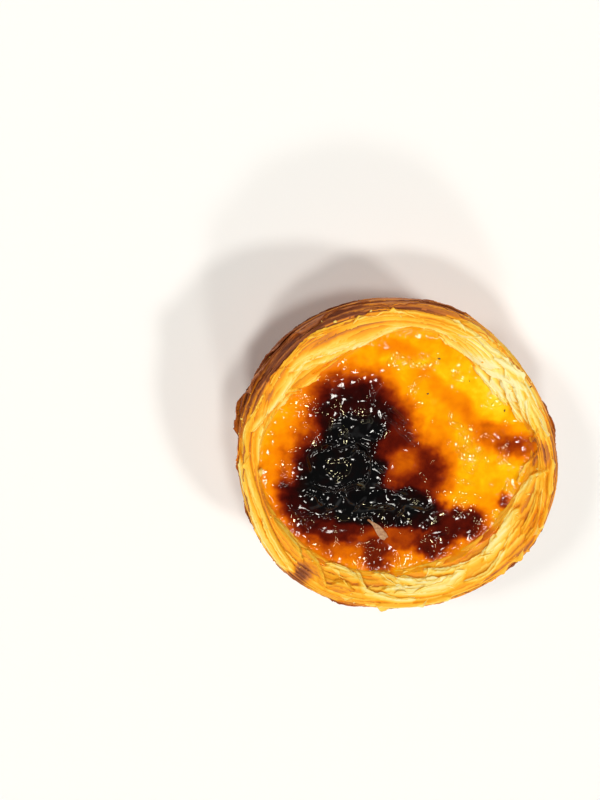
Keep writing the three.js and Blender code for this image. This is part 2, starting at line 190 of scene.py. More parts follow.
# Blisters: middle x and y, half sizes, turn in degrees, height
BLISTERS = (
    (-14.4, -1.1, 7.9, 6.6, -2, 1.7),
    (-12.9, 10.4, 7.3, 5.3, 9, 1.2),
    (-13.7, -10.0, 9.2, 4.0, -8, 0.8),
    (1.8, -11.1, 8.0, 3.3, -6, 0.8),
    (-10.8, 18.2, 5.8, 4.3, 25, 0.6),
    (-23.2, -6.0, 3.4, 5.6, 3, 0.45),
    (-15.6, -15.6, 7.2, 2.7, -11, 0.3),
    (-4.3, -23.0, 4.4, 2.7, -29, 0.35),
    (11.2, -16.6, 5.4, 3.8, 6, 0.55),
    (18.2, -17.2, 3.2, 2.5, 31, 0.4),
    (25.8, 4.0, 3.6, 3.0, -27, 0.35),
)

# Scorched patches: middle x and y, half sizes, turn in degrees, how burnt (1 is black) and
# the width of the soft edge in millimetres
SCORCHES = (
    (-13.2, -3.6, 11.0, 11.6, 0, 1.0, 12.0),
    (-11.0, 11.4, 9.8, 10.2, 12, 0.80, 11.0),
    (-4.0, -11.8, 12.6, 5.4, -3, 0.96, 9.0),
    (-10.4, 7.4, 7.6, 5.6, 0, 0.94, 6.0),
    (5.2, -4.8, 6.4, 8.0, 0, 0.62, 9.0),
    (-21.0, -8.6, 6.6, 9.0, 0, 0.74, 9.0),
    (-1.4, 7.6, 5.4, 8.4, 24, 0.64, 9.0),
    (5.4, -14.0, 6.0, 4.6, 0, 0.84, 6.0),
    (14.4, -17.4, 7.0, 4.0, 6, 0.68, 6.0),
    (9.4, -21.4, 5.2, 3.8, 3, 0.62, 5.0),
    (-4.6, -23.8, 4.4, 4.4, -10, 0.60, 6.0),
    (-14.0, -16.6, 8.6, 4.0, -8, 0.64, 7.0),
    (-2.0, -19.6, 13.0, 4.0, 0, 0.44, 7.0),
    (-13.0, -20.6, 9.6, 4.4, -22, 0.26, 7.0),
    (-21.5, 1.0, 4.4, 6.4, 0, 0.54, 7.0),
    (27.4, 3.0, 4.2, 3.0, -27, 0.47, 5.0),
    (23.0, 5.0, 4.8, 3.2, 0, 0.28, 5.0),
    (26.6, -11.8, 1.8, 1.5, 45, 0.48, 3.0),
)
# The round golden spot beside the scorched patches: x, y, half sizes, turn; how burnt it is
# and how burnt the ring round it is
EYE = (1.4, -0.6, 3.9, 4.0, 0)
EYE_BURN = 0.37
EYE_RING = 0.56

# Patches of lighter or deeper custard: x, y, half sizes, turn, shift (below 0 is yellower)
TINTS = (
    (18.6, 17.0, 11.0, 6.0, -50, -0.26),
    (17.2, -1.6, 4.2, 8.6, 3, -0.06),
    (24.0, -6.0, 4.0, 5.0, 20, -0.12),
    (12.8, 6.6, 2.8, 2.4, 0, -0.14),
    (-1.0, 27.0, 6.0, 2.6, 0, 0.40),
    (4.6, 21.6, 3.0, 2.0, 0, 0.20),
    (11.6, 15.4, 9.0, 2.2, -45, 0.42),
    (17.4, 9.8, 6.4, 2.4, -24, 0.34),
    (11.4, 2.0, 3.6, 9.0, 10, 0.42),
    (12.6, -12.4, 4.0, 3.0, 0, 0.30),
    (22.0, -12.0, 5.0, 3.0, 30, 0.16),
    (-18.0, -22.4, 11.0, 3.4, -40, 0.36),
    (-28.4, -3.0, 3.4, 9.0, 0, 0.46),
    (4.6, -25.6, 5.0, 3.0, 0, 0.30),
    (-21.6, 19.6, 7.6, 4.0, 44, 0.30),
    (-26.6, 8.0, 3.4, 6.0, -20, 0.24),
    (20.6, -21.0, 5.0, 2.4, 40, 0.36),
)

# Raised creases of the custard's skin: width, height, then places x and y
CREASES = (
    (0.50, 0.90, ((-3.4, 11.2), (-1.4, 9.4), (0.4, 7.2), (2.2, 5.4), (3.9, 3.9))),
    (0.55, 0.95, ((-2.8, 13.6), (-0.6, 11.4), (1.2, 9.4))),
    (0.60, 0.80, ((1.4, 7.6), (3.6, 6.4))),
    (0.50, 0.50, ((-5.0, -0.6), (-4.0, -2.0), (-3.0, -3.1))),
    (0.40, 0.50, ((-3.6, -5.8), (-1.4, -7.4), (0.6, -8.6), (2.6, -9.0))),
    (0.40, 0.45, ((-26.2, -10.2), (-24.0, -12.6), (-22.0, -14.2), (-21.0, -17.2))),
    (0.45, 0.50, ((-22.6, -13.4), (-20.2, -13.3))),
    (0.40, 0.45, ((-27.6, -5.6), (-26.0, -4.6), (-24.0, -3.8))),
    (0.45, 0.50, ((-28.2, -0.5), (-27.2, -1.9), (-26.4, -2.8))),
    (0.40, 0.50, ((-22.0, 10.0), (-20.2, 8.4), (-19.0, 7.2))),
    (0.30, 0.40, ((-21.8, 6.2), (-20.0, 4.2))),
    (0.30, 0.40, ((-19.6, 6.2), (-19.5, 4.2))),
    (0.40, 0.50, ((-18.4, 3.5), (-16.4, 4.2), (-14.8, 4.8))),
    (0.35, 0.60, ((-12.0, 1.8), (-10.2, 3.4), (-8.2, 2.6), (-7.0, 0.4), (-7.0, -2.8),
                  (-7.8, -4.8))),
    (0.35, 0.55, ((-7.8, -4.8), (-10.4, -5.0), (-12.8, -5.9), (-15.0, -6.9), (-18.0, -6.2),
                  (-20.0, -5.4))),
    (0.35, 0.50, ((-21.4, -7.2), (-19.2, -8.4), (-18.0, -10.2))),
    (0.35, 0.50, ((-10.4, -12.2), (-9.0, -10.6), (-7.2, -9.2))),
    (0.30, 0.40, ((-9.2, -14.6), (-7.4, -14.0), (-6.0, -13.9))),
    (0.35, 0.45, ((-16.8, -11.2), (-15.2, -11.0))),
    (0.30, 0.45, ((-17.8, -13.8), (-15.6, -14.1))),
    (0.60, 0.14, ((-16.6, 19.0), (-13.4, 20.6), (-11.0, 21.6), (-7.6, 21.8), (-3.6, 21.6))),
    (0.30, 0.35, ((-6.0, 16.2), (-5.6, 17.6), (-4.4, 18.7))),
    (0.30, 0.35, ((-6.8, 18.2), (-6.4, 16.2), (-6.3, 14.0))),
    (0.70, 0.12, ((-3.6, 22.0), (3.4, 21.8), (9.4, 19.6), (13.6, 17.2), (18.6, 12.6))),
    (0.30, 0.30, ((14.3, -20.0), (15.0, -21.6), (15.7, -23.4))),
    (0.30, 0.30, ((9.4, -10.6), (8.4, -11.8), (7.4, -12.7))),
    (0.40, 0.35, ((-3.8, -20.6), (-2.2, -22.7))),
    (0.30, 0.30, ((-0.1, -24.0), (0.7, -26.0), (0.6, -27.8))),
    (0.35, 0.40, ((26.9, -6.3), (26.6, -8.0), (26.0, -10.0))),
    (0.35, 0.35, ((14.3, 2.4), (15.5, 0.1))),
    (0.30, 0.30, ((24.2, 2.6), (24.4, 0.0), (25.1, -1.9))),
    (0.30, 0.30, ((4.1, 25.5), (5.8, 24.2))),
    (0.30, 0.30, ((6.3, 25.3), (8.3, 23.4))),
    (0.30, 0.30, ((20.2, 13.4), (22.0, 12.4))),
)

# Squarish top of the great blister: x, y, half sizes
GREAT_DOME = (-14.0, -1.4, 6.6, 5.2)
# Clusters of small bubbles: x, y, half sizes, turn
BUBBLED = (
    (17.0, 1.6, 3.4, 6.4, 3),
    (5.4, 24.4, 4.0, 1.8, -20),
    (-0.8, 24.6, 2.0, 2.4, 0),
    (13.0, 20.4, 1.4, 1.8, 0),
    (2.6, 16.4, 1.0, 2.0, 0),
    (21.4, 13.2, 1.8, 1.2, 0),
    (25.4, 0.6, 1.6, 4.4, 0),
    (16.4, -13.6, 3.0, 1.8, -20),
    (9.0, -22.4, 3.4, 2.0, 0),
    (-6.6, -24.4, 3.4, 2.0, -20),
    (-23.6, -14.2, 3.2, 2.4, -50),
    (-21.6, 13.0, 4.0, 2.0, 30),
    (-26.6, -2.4, 2.2, 2.6, 0),
    (21.4, -17.4, 2.4, 2.4, 30),
)

# Strings of syrup beads: bead half size, gap between beads, then places x and y
BEAD_STRINGS = (
    (0.30, 0.75, ((16.3, -9.6), (14.8, -10.4), (14.2, -11.6), (14.2, -13.0))),
    (0.26, 1.00, ((13.6, -5.0), (14.9, -6.0), (16.5, -6.2), (18.0, -6.6), (19.0, -7.1))),
    (0.30, 0.80, ((11.4, -14.2), (10.0, -15.4), (8.9, -16.5), (8.8, -17.7))),
    (0.26, 0.90, ((26.1, 2.4), (26.2, 0.0), (26.4, -1.8))),
    (0.30, 0.80, ((12.2, 21.6), (12.6, 20.2), (13.7, 19.6))),
    (0.28, 0.90, ((-0.9, 26.2), (-0.2, 25.0), (0.7, 24.8), (0.6, 23.6))),
    (0.24, 0.80, ((2.4, 23.9), (2.9, 23.0), (4.4, 23.1))),
    (0.26, 1.00, ((2.9, 17.4), (2.2, 16.6), (2.9, 15.5))),
    (0.24, 0.80, ((11.9, 11.0), (12.0, 9.7))),
    (0.26, 0.90, ((20.0, 5.1), (21.2, 5.4), (22.5, 4.5))),
    (0.26, 0.90, ((18.5, 5.7), (18.4, 4.4))),
    (0.28, 0.80, ((15.0, 7.5), (16.1, 6.4))),
    (0.28, 0.80, ((14.7, 5.3), (15.5, 3.9))),
    (0.26, 0.90, ((18.0, 1.7), (19.2, 0.4), (19.5, -0.9))),
    (0.24, 0.90, ((21.3, -0.4), (21.6, -2.9))),
    (0.30, 1.10, ((24.1, -14.3), (21.8, -15.9), (20.9, -16.8))),
    (0.30, 1.00, ((19.5, -16.0), (19.4, -17.6), (19.2, -19.2))),
    (0.28, 0.90, ((16.0, -12.6), (16.9, -13.5), (15.4, -14.6), (14.0, -15.2))),
    (0.30, 0.90, ((6.8, -21.5), (8.6, -20.9), (9.6, -21.9))),
    (0.30, 0.80, ((7.9, -22.8), (9.2, -23.7))),
    (0.30, 0.90, ((-7.3, -22.6), (-6.2, -24.8))),
    (0.26, 0.60, ((-7.4, -25.4), (-6.0, -25.4))),
    (0.26, 0.90, ((-10.5, -24.6), (-9.6, -26.1))),
    (0.24, 0.80, ((-8.5, -21.8), (-6.4, -21.0), (-4.6, -20.3))),
    (0.24, 0.80, ((-14.6, -16.6), (-14.6, -18.4), (-14.4, -20.0), (-14.2, -21.4), (-15.4, -22.2))),
    (0.24, 0.80, ((-8.1, -17.0), (-8.0, -19.0))),
    (0.28, 0.90, ((-16.8, 0.8), (-14.6, 1.2), (-12.8, 1.0), (-11.7, -0.6), (-12.4, -2.2))),
    (0.28, 0.70, ((-16.4, -1.6), (-14.8, -2.8))),
    (0.28, 0.70, ((-14.4, -4.0), (-13.2, -3.0))),
    (0.26, 0.90, ((-15.8, 13.8), (-14.4, 14.8), (-13.6, 12.8), (-13.0, 12.0))),
    (0.26, 0.90, ((-10.2, 13.0), (-8.8, 13.8), (-8.8, 12.0), (-10.0, 11.8))),
    (0.26, 1.00, ((-8.4, 10.2), (-6.6, 10.2), (-6.3, 8.8))),
    (0.26, 1.00, ((-16.0, 10.8), (-16.2, 9.4), (-16.2, 7.0))),
    (0.24, 0.90, ((-14.0, 7.2), (-13.3, 9.0), (-12.4, 7.4), (-12.8, 5.0))),
    (0.24, 0.70, ((-25.8, 14.2), (-23.0, 15.4), (-20.4, 16.2))),
    (0.24, 0.70, ((-17.2, 20.0), (-16.4, 21.2), (-15.0, 21.2))),
    (0.26, 0.80, ((-13.4, 24.0), (-12.6, 22.8))),
    (0.24, 1.00, ((-25.4, 3.3), (-23.8, 3.6), (-23.0, 4.3))),
    (0.24, 0.90, ((-3.0, 6.2), (-2.4, 6.9), (-1.8, 6.4))),
    (0.26, 1.00, ((5.7, -4.2), (6.9, -5.5))),
    (0.28, 0.80, ((7.4, -8.5), (8.1, -10.0))),
    (0.26, 0.90, ((3.4, -10.0), (4.1, -10.8), (5.4, -10.2))),
    (0.26, 0.90, ((12.3, -17.9), (12.6, -19.4))),
    (0.24, 1.10, ((-2.9, -12.6), (-3.4, -14.3), (-2.6, -16.4), (-2.0, -18.0))),
    (0.24, 1.00, ((0.6, -13.4), (2.4, -15.0), (3.6, -16.2), (4.0, -18.0))),
    (0.30, 0.60, ((3.5, 19.1), (4.7, 20.1))),
)


# ---- repeatable noise ----------------------------------------------------------------------
def hash01(seed, n):
    value = np.sin(seed * 12.9898 + np.asarray(n) * 78.233) * 43758.5453
    return value - np.floor(value)


def smoothstep(value, low, high):
    t = np.clip((value - low) / (high - low), 0.0, 1.0)
    return t * t * (3 - 2 * t)


def ring_wave(angle, seed, low, high):
    """A closed wave round the tart, about -1 to 1, mixing low to high cycles a turn."""
    total = np.zeros_like(np.asarray(angle, dtype=float))
    for n in range(low, high + 1):
        total += np.cos(n * angle + TURN * hash01(seed, n))
    return total / math.sqrt(2 * (high - low + 1))


def ripple(x, y, seed, length, waves):
    total = np.zeros_like(x)
    for n in range(waves):
        heading = TURN * hash01(seed, n)
        stretch = length * (0.6 + 0.8 * hash01(seed + 1, n))
        along = x * math.cos(heading) + y * math.sin(heading)
        total += np.cos(TURN * (along / stretch + hash01(seed + 2, n)))
    return total / math.sqrt(waves)


def grain(x, y, size, seed, wrap=0):
    """Gradient noise over the plane, about -1 to 1, with cells of the given size.

    With wrap, x repeats after that many cells, so that the noise closes round the tart.
    """
    u = x / size
    v = y / size
    left = np.floor(u)
    low = np.floor(v)
    fu = u - left
    fv = v - low
    su = fu * fu * fu * (fu * (fu * 6 - 15) + 10)
    sv = fv * fv * fv * (fv * (fv * 6 - 15) + 10)

    def corner(i, j):
        column = np.mod(left + i, wrap) if wrap else left + i
        turn = np.sin(column * 127.1 + (low + j) * 311.7 + seed * 74.7) * 43758.5453
        turn = TURN * (turn - np.floor(turn))
        return np.cos(turn) * (fu - i) + np.sin(turn) * (fv - j)

    bottom = corner(0, 0) * (1 - su) + corner(1, 0) * su
    top = corner(0, 1) * (1 - su) + corner(1, 1) * su
    return 1.5 * (bottom * (1 - sv) + top * sv)


def layered_grain(x, y, size, seed, layers):
    """Noise with finer and fainter noise on it: each layer has half the size of the last."""
    total = np.zeros_like(x)
    for n in range(layers):
        total += grain(x, y, size / 2**n, seed + n) / 2**n
    return total


def warped(x, y, *bends):
    """Places moved aside by noise, so that outlines wander; a bend is amount, size and seed."""
    wx, wy = x, y
    for amount, size, seed in bends:
        wx = wx + amount * grain(x, y, size, seed)
        wy = wy + amount * grain(x, y, size, seed + 1)
    return wx, wy


def strata(angle, distance, length, height, seed):
    """Noise drawn out round the tart: cells of `length` round it and `height` across it."""
    cells = max(3, round(TURN * BULGE_RADIUS / length))
    return grain(np.mod(angle, TURN) / TURN * cells, distance / height, 1.0, seed, wrap=cells)


def wobble(terms, angle):
    """Sum of slow waves round the tart, in millimetres."""
    return sum(swing * np.cos(cycles * (angle - math.radians(at))) for cycles, swing, at in terms)


def angle_between(angle, middle):
    """Angle from the middle, the short way round."""
    return np.arctan2(np.sin(angle - middle), np.cos(angle - middle))


# ---- section of the cup --------------------------------------------------------------------
class Section:
    """A smooth line through points (radius, height), read by distance along it from one of them."""

    SAMPLES = 2401

    def __init__(self, points, zero=0):
        points = np.array(points, dtype=float)
        count = len(points)
        t = np.linspace(0, count - 1, self.SAMPLES)
        whole = np.minimum(t.astype(int), count - 2)
        w = (t - whole)[:, None]
        p0 = points[np.maximum(whole - 1, 0)]
        p1 = points[whole]
        p2 = points[whole + 1]
        p3 = points[np.minimum(whole + 2, count - 1)]
        v0 = (p2 - p0) / 2
        v1 = (p3 - p1) / 2
        cubed = (2 * p1 - 2 * p2 + v0 + v1) * w**3
        squared = (3 * p2 - 3 * p1 - 2 * v0 - v1) * w**2
        line = cubed + squared + v0 * w + p1
        self.distance = np.concatenate([[0], np.cumsum(np.hypot(*np.diff(line, axis=0).T))])
        self.distance -= np.interp(zero, t, self.distance)
        self.line = line
        self.tangent = np.gradient(line, axis=0)
        self.tangent /= np.linalg.norm(self.tangent, axis=1)[:, None]
        self.length = self.distance[-1]

    def at(self, distance):
        """Radius, height and the two parts of the tangent."""
        distance = np.clip(distance, self.distance[0], self.length)
        columns = (self.line[:, 0], self.line[:, 1], self.tangent[:, 0], self.tangent[:, 1])
        return [np.interp(distance, self.distance, column) for column in columns]


outer_section = Section([
    (CUSTARD_RADIUS - LIP_REACH, CUSTARD_HEIGHT - 0.5),
    (CUSTARD_RADIUS, CUSTARD_HEIGHT),
    (CUSTARD_RADIUS + 1.8, CREST_HEIGHT - 1.8),
    (CREST_RADIUS - 1.9, CREST_HEIGHT - 0.4),
    (CREST_RADIUS, CREST_HEIGHT),
    (BULGE_RADIUS - 0.8, CREST_HEIGHT - 1.3),
    (BULGE_RADIUS - 0.1, BULGE_HEIGHT + 2.8),
    (BULGE_RADIUS, BULGE_HEIGHT),
    (BULGE_RADIUS - 0.9, BULGE_HEIGHT - 3),
    (BULGE_RADIUS - 3.3, BULGE_HEIGHT - 7),
    (BULGE_RADIUS - 6.7, BULGE_HEIGHT - 12),
    (BULGE_RADIUS - 10.3, BULGE_HEIGHT - 17.3),
    (BASE_RADIUS + 5.4, 3.6),
    (BASE_RADIUS + 2.8, 0.8),
    (BASE_RADIUS, 0),
], zero=1)
inner_section = Section([
    (CUSTARD_RADIUS, CUSTARD_HEIGHT),
    (BULGE_RADIUS - 4 - WALL_THICKNESS, BULGE_HEIGHT - 5),
    (BULGE_RADIUS - 7 - WALL_THICKNESS, BULGE_HEIGHT - 10.5),
    (BASE_RADIUS + 1.5, FLOOR_THICKNESS + 2.4),
    (BASE_RADIUS - 3, FLOOR_THICKNESS + 0.1),
])


def rim_shift(angle):
    """How far the rim lies outside its section, with one place pressed in."""
    away = angle_between(angle, math.radians(RIM_DENT["at"])) / math.radians(RIM_DENT["half_width"])
    return wobble(RIM_WOBBLE, angle) - RIM_DENT["depth"] * np.exp(-away * away)


def inner_shift(angle, height):
    """How far the inner wall lies outside its section; none at the floor."""
    return wobble(CUSTARD_WOBBLE, angle) * smoothstep(height, FLOOR_THICKNESS, CUSTARD_HEIGHT)


def outer_point(angle, distance, push):
    """Radius and height at a distance along the outside, pushed out along its normal."""
    radius, height, run, rise = outer_section.at(distance)
    crest_share = smoothstep(distance, 0, 6)
    rim = rim_shift(angle) * (0.15 + 0.85 * smoothstep(height, 0, BULGE_HEIGHT))
    shift = inner_shift(angle, height) * (1 - crest_share) + rim * crest_share
    near_rim = smoothstep(height, CUSTARD_HEIGHT - 8, CREST_HEIGHT) * smoothstep(distance, 1, 5)
    wave = CREST_WAVE * ring_wave(angle, 5, 1, 6) * near_rim
    return radius + shift - rise * push, height + run * push + wave


# ---- leaves on the rim ---------------------------------------------------------------------
def across_path(path, angle, distance):
    """Millimetres across a path of (degrees, millimetres), and how far past its ends."""
    degrees = np.array([place[0] for place in path])
    middles = np.array([place[1] for place in path])
    centre = (degrees[0] + degrees[-1]) / 2
    here = centre + np.degrees(angle_between(angle, math.radians(centre)))
    line = np.interp(here, degrees, middles)
    span = math.radians(1) * CREST_RADIUS
    slope = np.interp(here, degrees, np.gradient(middles, degrees)) / span
    past = np.maximum(degrees[0] - here, here - degrees[-1]) * span
    return (distance - line) / np.sqrt(1 + slope * slope), past


def near_path(path, angle, distance, reach):
    """Which places lie within reach, in millimetres, of the box round a path."""
    places = [place[1] for place in path]
    middle = math.radians(path[0][0] + path[-1][0]) / 2
    half_span = math.radians(path[-1][0] - path[0][0]) / 2 + reach / CREST_RADIUS
    beside = np.abs(angle_between(angle, middle)) < half_span
    return beside & (distance > min(places) - reach) & (distance < max(places) + reach)


# Leaves nearer the custard than this face it, and the others face outwards
CREST_DISTANCE = 6.3


def free_side(path):
    """Which way a leaf's free edge faces: -1 towards the custard, 1 outwards."""
    return -1 if np.mean([place[1] for place in path]) < CREST_DISTANCE else 1


# How many thin layers of dough lie between the custard line and a place: millimetres, layers
LAYERS_AT = ((-3, 10, 20, 46), (-2.6, 8.4, 14.6, 26))
LAYER_THICKNESS = 1.2
# Going down the wall, the layers are baked together more and more between these distances
FUSED = (12, 19)
# How far a layer stands out from the next, and how far the rim lies back between the leaves
LAYER_STEP = 0.38
RIM_SINK = 0.50
# Bake where no leaf lies, and how much deeper a leaf is painted at its root and a slit at its
# bottom, as painted shade
BARE_BAKE = 0.42
ROOT_PAINTED_SHADE = 0.38
SLIT_PAINTED_SHADE = 0.14
# How much of its depth a slit keeps
SLIT_SHARE = 0.5


def layer_count(angle, distance):
    """The thin layers of the dough, counted outwards; they wander, draw together and fan out."""
    wander = 1.3 * strata(angle, distance, 26, 7, 88) + 0.28 * strata(angle, distance, 6, 3, 89)
    wander += 0.12 * strata(angle, distance, 1.3, 2, 90)
    wander += 1.6 * smoothstep(distance, 9, 18) * strata(angle, distance, 34, 12, 79)
    return np.interp(distance, *LAYERS_AT) + wander / LAYER_THICKNESS


def leaf_pattern(angle, distance):
    """Relief, bake and cover of the rim: how far it stands out, its colour with painted shade in
    it, how leafy it is.

    A leaf is a thin shingle: rooted along one side and standing up to a frayed free edge.
    """
    angle, distance = (np.array(part, dtype=float) for part in np.broadcast_arrays(angle, distance))
    count = layer_count(angle, distance)
    layer = np.floor(count)
    depth = count - layer
    apart = smoothstep(strata(angle, distance, 11, 2.5, 86), -0.45, 0.25)
    step = (1 - depth) * (0.35 + 0.65 * apart)
    # painted shade: each layer is painted deeper towards the foot of the next layer's step; the
    # second part is tone that differs from layer to layer
    layer_painted_shade_and_tone = 0.38 * (depth - 0.45) * (0.4 + 0.6 * apart)
    layer_painted_shade_and_tone += 0.12 * strata(angle, layer * 1.37, 17, 1.0, 87)
    wall = smoothstep(distance, 7, 11)
    slope = smoothstep(distance, 0.2, 2.5)
    fused = smoothstep(distance, *FUSED)
    level = slope * (-RIM_SINK * (1 - wall) + (LAYER_STEP - 0.33 * fused) * step)
    layer_painted_shade_and_tone *= 1 - 0.9 * fused
    bake_and_painted_shade = BARE_BAKE + layer_painted_shade_and_tone
    cover = np.zeros_like(angle)
    for number, (half, lift, tone, path) in enumerate(LEAVES):
        near = near_path(path, angle, distance, 1.6 * half + 1.0)
        if not near.any():
            continue
        here = angle[near]
        place = distance[near]
        off, past = across_path(path, here, place)
        fray = 0.16 * strata(here, place, 3.4, 3.0, 200 + number)
        fray += 0.12 * strata(here, place, 0.9, 1.5, 300 + number)
        width = half * (1 - 0.8 * smoothstep(past + 1.5 * fray, -2.5 * half, 0.2))
        towards = off * free_side(path) / width
        beyond = (towards - 1) * width + fray
        ends = 1 - smoothstep(past, -0.1, 0.4)
        inside = (1 - smoothstep(beyond, -0.17, 0.17)) * smoothstep(towards, -1.3, -0.4) * ends
        rise = np.clip((towards + 1) / 2, 0, 1)
        top = (0.12 + 0.54 * lift) * (0.20 + 0.80 * rise) + 0.10 * step[near]
        level[near] += inside * (np.maximum(0.6 * level[near] + 0.14 * rise, top) - level[near])
        # painted shade makes a leaf deeper towards its low root, and painted light makes it paler
        # at its thin free edge
        shade = tone - 0.07 + ROOT_PAINTED_SHADE * (1 - rise) ** 1.3 - 0.07 * smoothstep(towards, 0.6, 1)
        shade += 0.5 * layer_painted_shade_and_tone[near]
        # painted shade: the leaf's pale colour stops short of the steep side of its free edge,
        # which keeps the rim's deeper orange, and the gap under the edge is painted a little deeper
        on_top = inside * (1 - smoothstep(beyond, -0.34, -0.08))
        bake_and_painted_shade[near] += on_top * (shade - bake_and_painted_shade[near])
        gap = np.exp(-(((beyond - 0.15) / 0.35) ** 2)) * ends * (1 - on_top)
        bake_and_painted_shade[near] += 0.04 * gap
        level[near] -= 0.08 * gap * slope[near] * (1 - inside)
        cover[near] = np.maximum(cover[near], inside)
    for half, depth, path in SLITS:
        near = near_path(path, angle, distance, 4 * half + 0.5)
        if not near.any():
            continue
        off, past = across_path(path, angle[near], distance[near])
        wander = 0.5 * half * strata(angle[near], distance[near], 1.6, 4.0, 600)
        open_part = np.exp(-(((off + wander) / half) ** 2)) * (1 - smoothstep(past, -0.8, 0.2))
        level[near] -= SLIT_SHARE * depth * open_part
        # the slit is painted deeper: painted shade
        bake_and_painted_shade[near] += SLIT_PAINTED_SHADE * open_part
    return level, bake_and_painted_shade, cover


def toast_at(angle, distance):
    """Browning from the oven: faint inside the rim and strong on the outer wall."""
    degrees = np.degrees(np.mod(angle, TURN))
    marks = np.array(BROWNING)
    starts = np.interp(degrees, marks[:, 0], marks[:, 1], period=360)
    amounts = np.interp(degrees, marks[:, 0], marks[:, 2], period=360)
    warp = distance + 0.5 * strata(angle, distance, 7, 2.0, 71)
    warp += 0.2 * strata(angle, distance, 2.5, 1.0, 72)
    toast = amounts * smoothstep(warp, starts - 0.6, starts + 1.2)
    low_wall = smoothstep(warp, 13, 20)
    patches = -0.03 + 0.20 * strata(angle, warp, 20, 12, 73) + 0.10 * strata(angle, warp, 6, 5, 74)
    toast += low_wall * patches
    for at, middle, half_angle, half_distance, amount in TOASTED:
        off = np.hypot(angle_between(angle, math.radians(at)) / math.radians(half_angle),
                       (warp - middle) / half_distance)
        toast += amount * (1 - smoothstep(off, 0.3, 1.3))
    return toast


# ---- surface of the custard ----------------------------------------------------------------
def patch_reach(patch, x, y):
    """Distance from a patch's middle, 0 at the middle and 1 at its edge."""
    turn = math.radians(patch[4])
    dx = x - patch[0]
    dy = y - patch[1]
    along = (dx * math.cos(turn) + dy * math.sin(turn)) / patch[2]
    across = (dy * math.cos(turn) - dx * math.sin(turn)) / patch[3]
    return np.hypot(along, across)


def burn_at(x, y):
    """How burnt the custard is, from 0, golden, to 1, black; patches run into each other."""
    wx, wy = warped(x, y, (1.2, 6.0, 31), (0.8, 2.2, 33), (0.3, 0.9, 35))
    total = np.zeros_like(x)
    for patch in SCORCHES:
        burnt, soft = patch[5:]
        past = (patch_reach(patch, wx, wy) - 1) * math.sqrt(patch[2] * patch[3])
        total += (burnt * (1 - smoothstep(past, -0.36 * soft, 0.46 * soft))) ** 5
    burn = np.minimum(total ** 0.2, 1.0)
    reach = patch_reach(EYE, (wx + 2 * x) / 3, (wy + 2 * y) / 3)
    burn = np.maximum(burn, EYE_RING * (1 - smoothstep(reach, 1.2, 2.1)))
    eye = 1 - smoothstep(reach, 0.55, 1.35)
    return burn * (1 - eye) + EYE_BURN * eye


def tint_at(x, y):
    """Shift of the golden custard: below 0 is yellower, above 0 deeper orange."""
    wx, wy = warped(x, y, (1.5, 6.0, 41))
    tint = 0.12 * grain(x, y, 9.0, 43) + 0.14 * grain(wx, wy, 2.8, 44)
    tint += 0.08 * grain(wx, wy, 1.2, 45)
    for patch in TINTS:
        tint += patch[5] * (1 - smoothstep(patch_reach(patch, wx, wy), 0.3, 1.4))
    return tint


def line_distance(points, x, y):
    """Distance to a line through points, and how far along it, 0 to 1, the nearest place is."""
    nearest = np.full_like(x, 1e9)
    along = np.zeros_like(x)
    lengths = [math.dist(a, b) for a, b in zip(points, points[1:])]
    total = sum(lengths)
    start = 0.0
    for (x0, y0), (x1, y1), length in zip(points, points[1:], lengths):
        ux = (x1 - x0) / length
        uy = (y1 - y0) / length
        t = np.clip((x - x0) * ux + (y - y0) * uy, 0, length)
        gap = np.hypot(x - x0 - t * ux, y - y0 - t * uy)
        closer = gap < nearest
        nearest = np.where(closer, gap, nearest)
        along = np.where(closer, (start + t) / total, along)
        start += length
    return nearest, along


def crease_height(x, y):
    """Ridges where the skin has folded, highest halfway along and fading at both ends."""
    bent_x, bent_y = warped(x, y, (0.25, 1.6, 51))
    total = np.zeros_like(x)
    for width, height, points in CREASES:
        xs, ys = zip(*points)
        near = (x > min(xs) - 2) & (x < max(xs) + 2) & (y > min(ys) - 2) & (y < max(ys) + 2)
        if not near.any():
            continue
        gap, along = line_distance(points, bent_x[near], bent_y[near])
        ends = smoothstep(along, -0.05, 0.2) * (1 - smoothstep(along, 0.8, 1.05))
        total[near] += height * (0.35 + 0.65 * ends) * np.exp(-((gap / width) ** 2))
    return total


def bubbling(x, y):
    """Where syrup has bubbled up: 0 on calm custard, 1 in the clusters."""
    wx, wy = warped(x, y, (1.0, 4.0, 46))
    calm = np.ones_like(x)
    for patch in BUBBLED:
        calm *= smoothstep(patch_reach(patch, wx, wy), 0.5, 1.3)
    return 1 - calm


# The custard runs this far under the pastry's edge, and creeps up it round the tart
EDGE_REACH = 1.0
CREEP_FADE = 1.1
CREEP_PLACES = np.linspace(0, TURN, 721)
CREEP_HEIGHTS = 1.9 - 1.1 * leaf_pattern(CREEP_PLACES, 0.6)[2]
CREEP_HEIGHTS *= 1 + 0.25 * ring_wave(CREEP_PLACES, 21, 9, 24)
# How burnt the custard is where it starts and ends to turn to charred folds
CHARRED = (0.72, 0.96)


def edge_creep(angle):
    """How high the custard has crept up the pastry; less where a leaf lies over its edge."""
    return np.interp(angle, CREEP_PLACES, CREEP_HEIGHTS, period=TURN)


